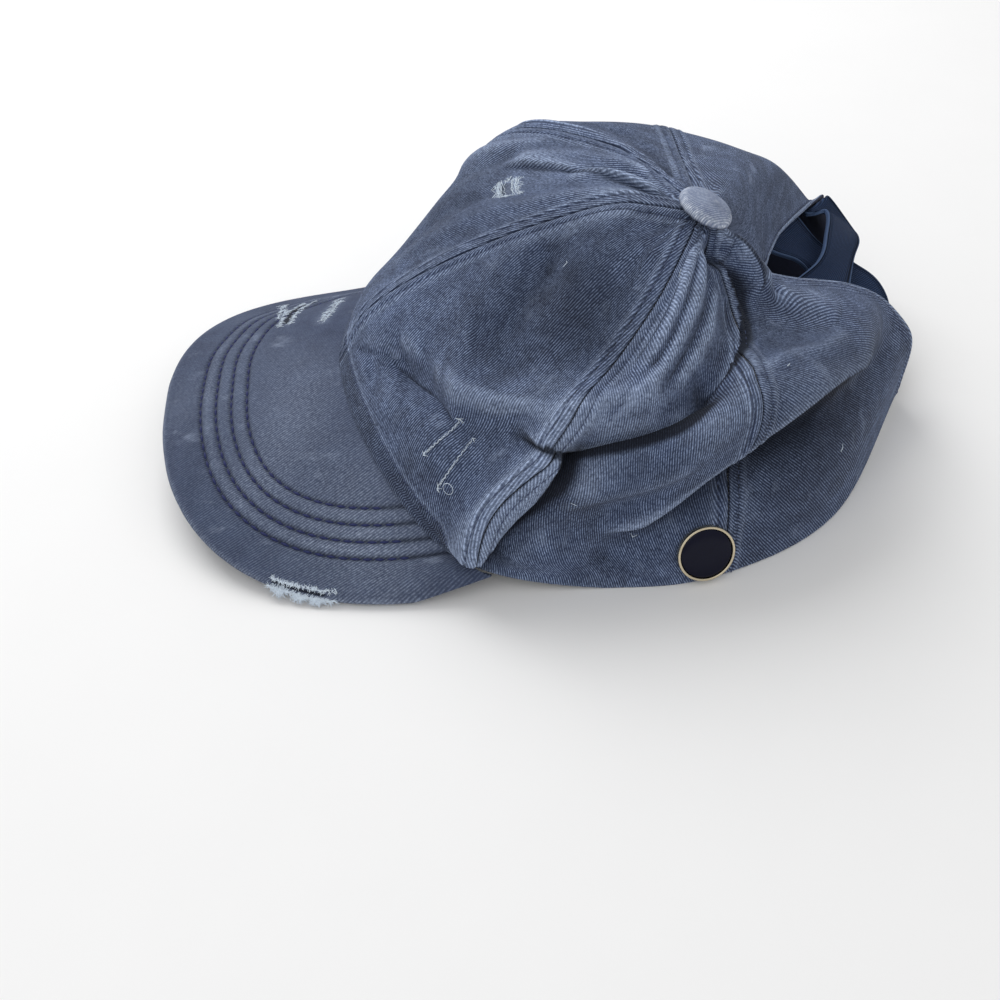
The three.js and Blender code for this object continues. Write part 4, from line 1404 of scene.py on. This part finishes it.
def turnedObject(shape, centre, axis):
    # stands a finished shape, made upright at the origin in millimetres, on its place
    turn = Vector((0, 0, 1)).rotation_difference(Vector(axis)).to_matrix().to_4x4()
    place = Matrix.Translation(Vector((np.array(centre) + setDown) * mm))
    shape.data.transform(place @ turn @ Matrix.Scale(mm, 4))
    shape.data.update()


def flatPattern(shape, wear):
    # a pattern seen from above in millimetres, with the worn places and the painted shade worked out from
    # radius and height
    layer = shape.data.uv_layers.active or shape.data.uv_layers.new(name="cloth")
    layer.name = "cloth"
    wearField = shape.data.attributes.new("wear", "FLOAT", "POINT")
    depthField = shape.data.attributes.new("depth", "FLOAT", "POINT")
    for vertex in shape.data.vertices:
        worn, dark = wear(vertex.co)
        wearField.data[vertex.index].value = worn
        depthField.data[vertex.index].value = dark
    for loop in shape.data.loops:
        co = shape.data.vertices[loop.vertex_index].co
        layer.data[loop.index].uv = (co.x + 300, co.y + 300)


def pickFaces(shape, test):
    for polygon in shape.data.polygons:
        polygon.select = bool(test(polygon))


def makeButton():
    # a cloth-covered dome: a disc, bevelled round its top, inset and raised to a crown
    bpy.ops.mesh.primitive_cylinder_add(vertices=48, radius=button["radius"], depth=1.8, location=(0, 0, 0.9),
                                        end_fill_type="NGON")
    shape = bpy.context.object
    shape.name = "button_dome"
    bpy.ops.object.transform_apply(location=True)
    bpy.ops.object.mode_set(mode="EDIT")
    bpy.ops.mesh.select_mode(type="FACE")
    bpy.ops.mesh.select_all(action="DESELECT")
    bpy.ops.object.mode_set(mode="OBJECT")
    pickFaces(shape, lambda f: f.normal.z > 0.9)
    bpy.ops.object.mode_set(mode="EDIT")
    for thickness, lift in ((0.9, 1.05), (1.3, 0.85), (1.9, 0.65), (2.0, 0.32), (1.6, 0.1)):
        bpy.ops.mesh.inset(thickness=thickness, depth=0)
        bpy.ops.transform.translate(value=(0, 0, lift))
    bpy.ops.mesh.select_all(action="DESELECT")
    bpy.ops.object.mode_set(mode="OBJECT")
    pickFaces(shape, lambda f: f.normal.z < -0.9)
    bpy.ops.object.mode_set(mode="EDIT")
    bpy.ops.mesh.inset(thickness=0.9, depth=0)
    bpy.ops.mesh.inset(thickness=2.5, depth=0)
    bpy.ops.transform.translate(value=(0, 0, -0.5))
    bpy.ops.object.mode_set(mode="OBJECT")
    smoothing = shape.modifiers.new("smoothing", "SUBSURF")
    smoothing.levels = 2
    smoothing.render_levels = 2
    bpy.ops.object.modifier_apply(modifier="smoothing")
    for vertex in shape.data.vertices:
        x, y, z = vertex.co
        r = math.hypot(x, y)
        a = math.atan2(y, x)
        # the cloth gathers in small pleats where it turns under the edge
        pleat = 0.16 * math.sin(17 * a) * max(0.0, 1 - abs(z - 0.2) / 1.4) * min(1.0, r / button["radius"])
        vertex.co.x += x / max(r, 0.1) * pleat
        vertex.co.y += y / max(r, 0.1) * pleat
        vertex.co.z += 0.12 * math.sin(x * 0.55 + 0.7) * math.sin(y * 0.5) * (z > 2)
    bpy.ops.object.shade_smooth()

    def wear(co):
        r = math.hypot(co.x, co.y)
        edge = math.exp(-((r - button["radius"] + 0.5) / 0.9) ** 2) * (co.z > 0.8)
        spot = 0.5 * math.exp(-((co.x - 2.5) ** 2 + (co.y - 1.5) ** 2) / 5)
        # the foot of the dome is painted dark as the shade where it sits on the crown
        return 0.25 + 0.55 * edge, min(0.9, spot * 0.5 + max(0.0, 1 - co.z / 1.1) * 0.9)

    flatPattern(shape, wear)
    shape.data.materials.append(makeTwill("button twill", -0.5, buttonColours))
    return shape


def summitBase():
    # the cloth under the button, clear of every bump
    axis = unit(np.array(button["axis"]))
    centre = np.array(crown["summit"]) * halfSizes
    a, u = np.meshgrid(np.linspace(-3, 3, 121), np.linspace(0.85, 0.975, 14))
    p = mainCloth(a.ravel(), u.ravel()) - centre
    height = p @ axis
    away = np.linalg.norm(p - height[:, None] * axis, axis=1)
    clear = height[away < button["radius"]].max()
    return centre + axis * (max(clear, 0) + 0.8 + 0.2)


buttonPiece = makeButton()
turnedObject(buttonPiece, summitBase(), button["axis"])
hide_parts("button")
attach(buttonPiece, "root")
print("button made")

# badge
badge = {
    "at": 1.91, "up": 0.08,
    "radius": 9.0, "thickness": 1.8, "rim": 0.8,
}


def badgePlace():
    at, up = np.array([badge["at"]]), np.array([badge["up"]])
    axis = normalOf(mainCloth, at, up)[0]
    centre = mainCloth(at, up)[0]
    a, u = np.meshgrid(np.linspace(1.6, 2.2, 61), np.linspace(0, 0.2, 21))
    p = mainCloth(a.ravel(), u.ravel()) - centre
    height = p @ axis
    away = np.linalg.norm(p - height[:, None] * axis, axis=1)
    return centre + axis * (height[away < badge["radius"]].max() + 0.8 + 0.3), axis


def makeBadge():
    centre, axis = badgePlace()
    bpy.ops.mesh.primitive_cylinder_add(vertices=72, radius=badge["radius"], depth=badge["thickness"],
                                        location=(0, 0, badge["thickness"] / 2), end_fill_type="NGON")
    rim = bpy.context.object
    rim.name = "badge_metal_rim"
    bpy.ops.object.transform_apply(location=True)
    pickFaces(rim, lambda f: f.normal.z > 0.9)
    bpy.ops.object.mode_set(mode="EDIT")
    bpy.ops.mesh.select_mode(type="FACE")
    bpy.ops.mesh.inset(thickness=badge["rim"], depth=0)
    bpy.ops.mesh.extrude_region_move(TRANSFORM_OT_translate={"value": (0, 0, -1.1)})
    bpy.ops.object.mode_set(mode="OBJECT")
    bevel = rim.modifiers.new("bevel", "BEVEL")
    bevel.width = 0.28
    bevel.segments = 4
    bevel.limit_method = "ANGLE"
    bpy.ops.object.modifier_apply(modifier="bevel")
    bpy.ops.object.shade_smooth_by_angle(angle=math.radians(40))
    rim.data.materials.append(makePlain("badge metal", linear(206, 194, 168), 0.22, 1.0, 700.0, 0.08))
    bpy.ops.object.select_all(action="DESELECT")
    inside = badge["radius"] - badge["rim"] - 0.05
    bpy.ops.mesh.primitive_cylinder_add(vertices=72, radius=inside, depth=0.5, location=(0, 0, 1.0),
                                        end_fill_type="NGON")
    enamel = bpy.context.object
    enamel.name = "badge_enamel_face"
    bpy.ops.object.transform_apply(location=True)
    pickFaces(enamel, lambda f: f.normal.z > 0.9)
    bpy.ops.object.mode_set(mode="EDIT")
    for thickness, lift in ((0.5, 0.28), (1.5, 0.16), (2.5, 0.08)):
        bpy.ops.mesh.inset(thickness=thickness, depth=0)
        bpy.ops.transform.translate(value=(0, 0, lift))
    bpy.ops.object.mode_set(mode="OBJECT")
    smoothing = enamel.modifiers.new("smoothing", "SUBSURF")
    smoothing.levels = 1
    smoothing.render_levels = 1
    bpy.ops.object.modifier_apply(modifier="smoothing")
    bpy.ops.object.shade_smooth()
    enamelFinish = makePlain("badge enamel", linear(7, 9, 30), 0.12, 0.0, 300.0, 0.15, gloss=0.16)
    enamel.data.materials.append(enamelFinish)
    bpy.ops.object.select_all(action="DESELECT")
    for shape, node, slotName in ((rim, "badge_rim", "badge_metal"),
                                  (enamel, "badge_enamel", "badge_enamel")):
        turnedObject(shape, centre, axis)
        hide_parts(node)
        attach(shape, "root")
    print("badge made")


makeBadge()

# floor and light
def makeStage():
    bpy.ops.mesh.primitive_plane_add(size=6, location=(0, 0, -0.0002))
    floor = bpy.context.object
    floor.name = "floor"
    bpy.ops.object.transform_apply(location=True)
    material, tree, shader = newMaterial("pale floor")
    n = Nodes(tree)
    spot = tree.nodes.new("ShaderNodeTexCoord").outputs["Object"]
    pale = n.mix(n.noise(spot, 30.0), (0.86, 0.86, 0.86, 1), (0.88, 0.88, 0.88, 1))
    n.feed(shader.inputs["Base Color"], pale)
    shader.inputs["Roughness"].default_value = 0.9
    floor.data.materials.append(material)


lights = {
    "world": 0.6,
    "key": ((-0.62, -0.30, 0.75), 0.8, 7.0),
    "fill": ((0.8, -0.3, 0.8), 1.2, 2.4),
}


def makeLights():
    world = bpy.data.worlds.new("studio")
    world.use_nodes = True
    world.node_tree.nodes["Background"].inputs[0].default_value = (1, 1, 1, 1)
    world.node_tree.nodes["Background"].inputs[1].default_value = lights["world"]
    bpy.context.scene.world = world
    for name in ("key", "fill"):
        place, size, power = lights[name]
        data = bpy.data.lights.new(name, "AREA")
        data.size = size
        data.energy = power
        lamp = bpy.data.objects.new(name, data)
        bpy.context.scene.collection.objects.link(lamp)
        aim = (Vector((0, 0, 0.03)) - Vector(place)).to_track_quat("-Z", "Y").to_matrix().to_4x4()
        lamp.matrix_world = Matrix.Translation(place) @ aim
    bpy.context.scene.view_settings.view_transform = "Standard"


makeStage()
makeLights()
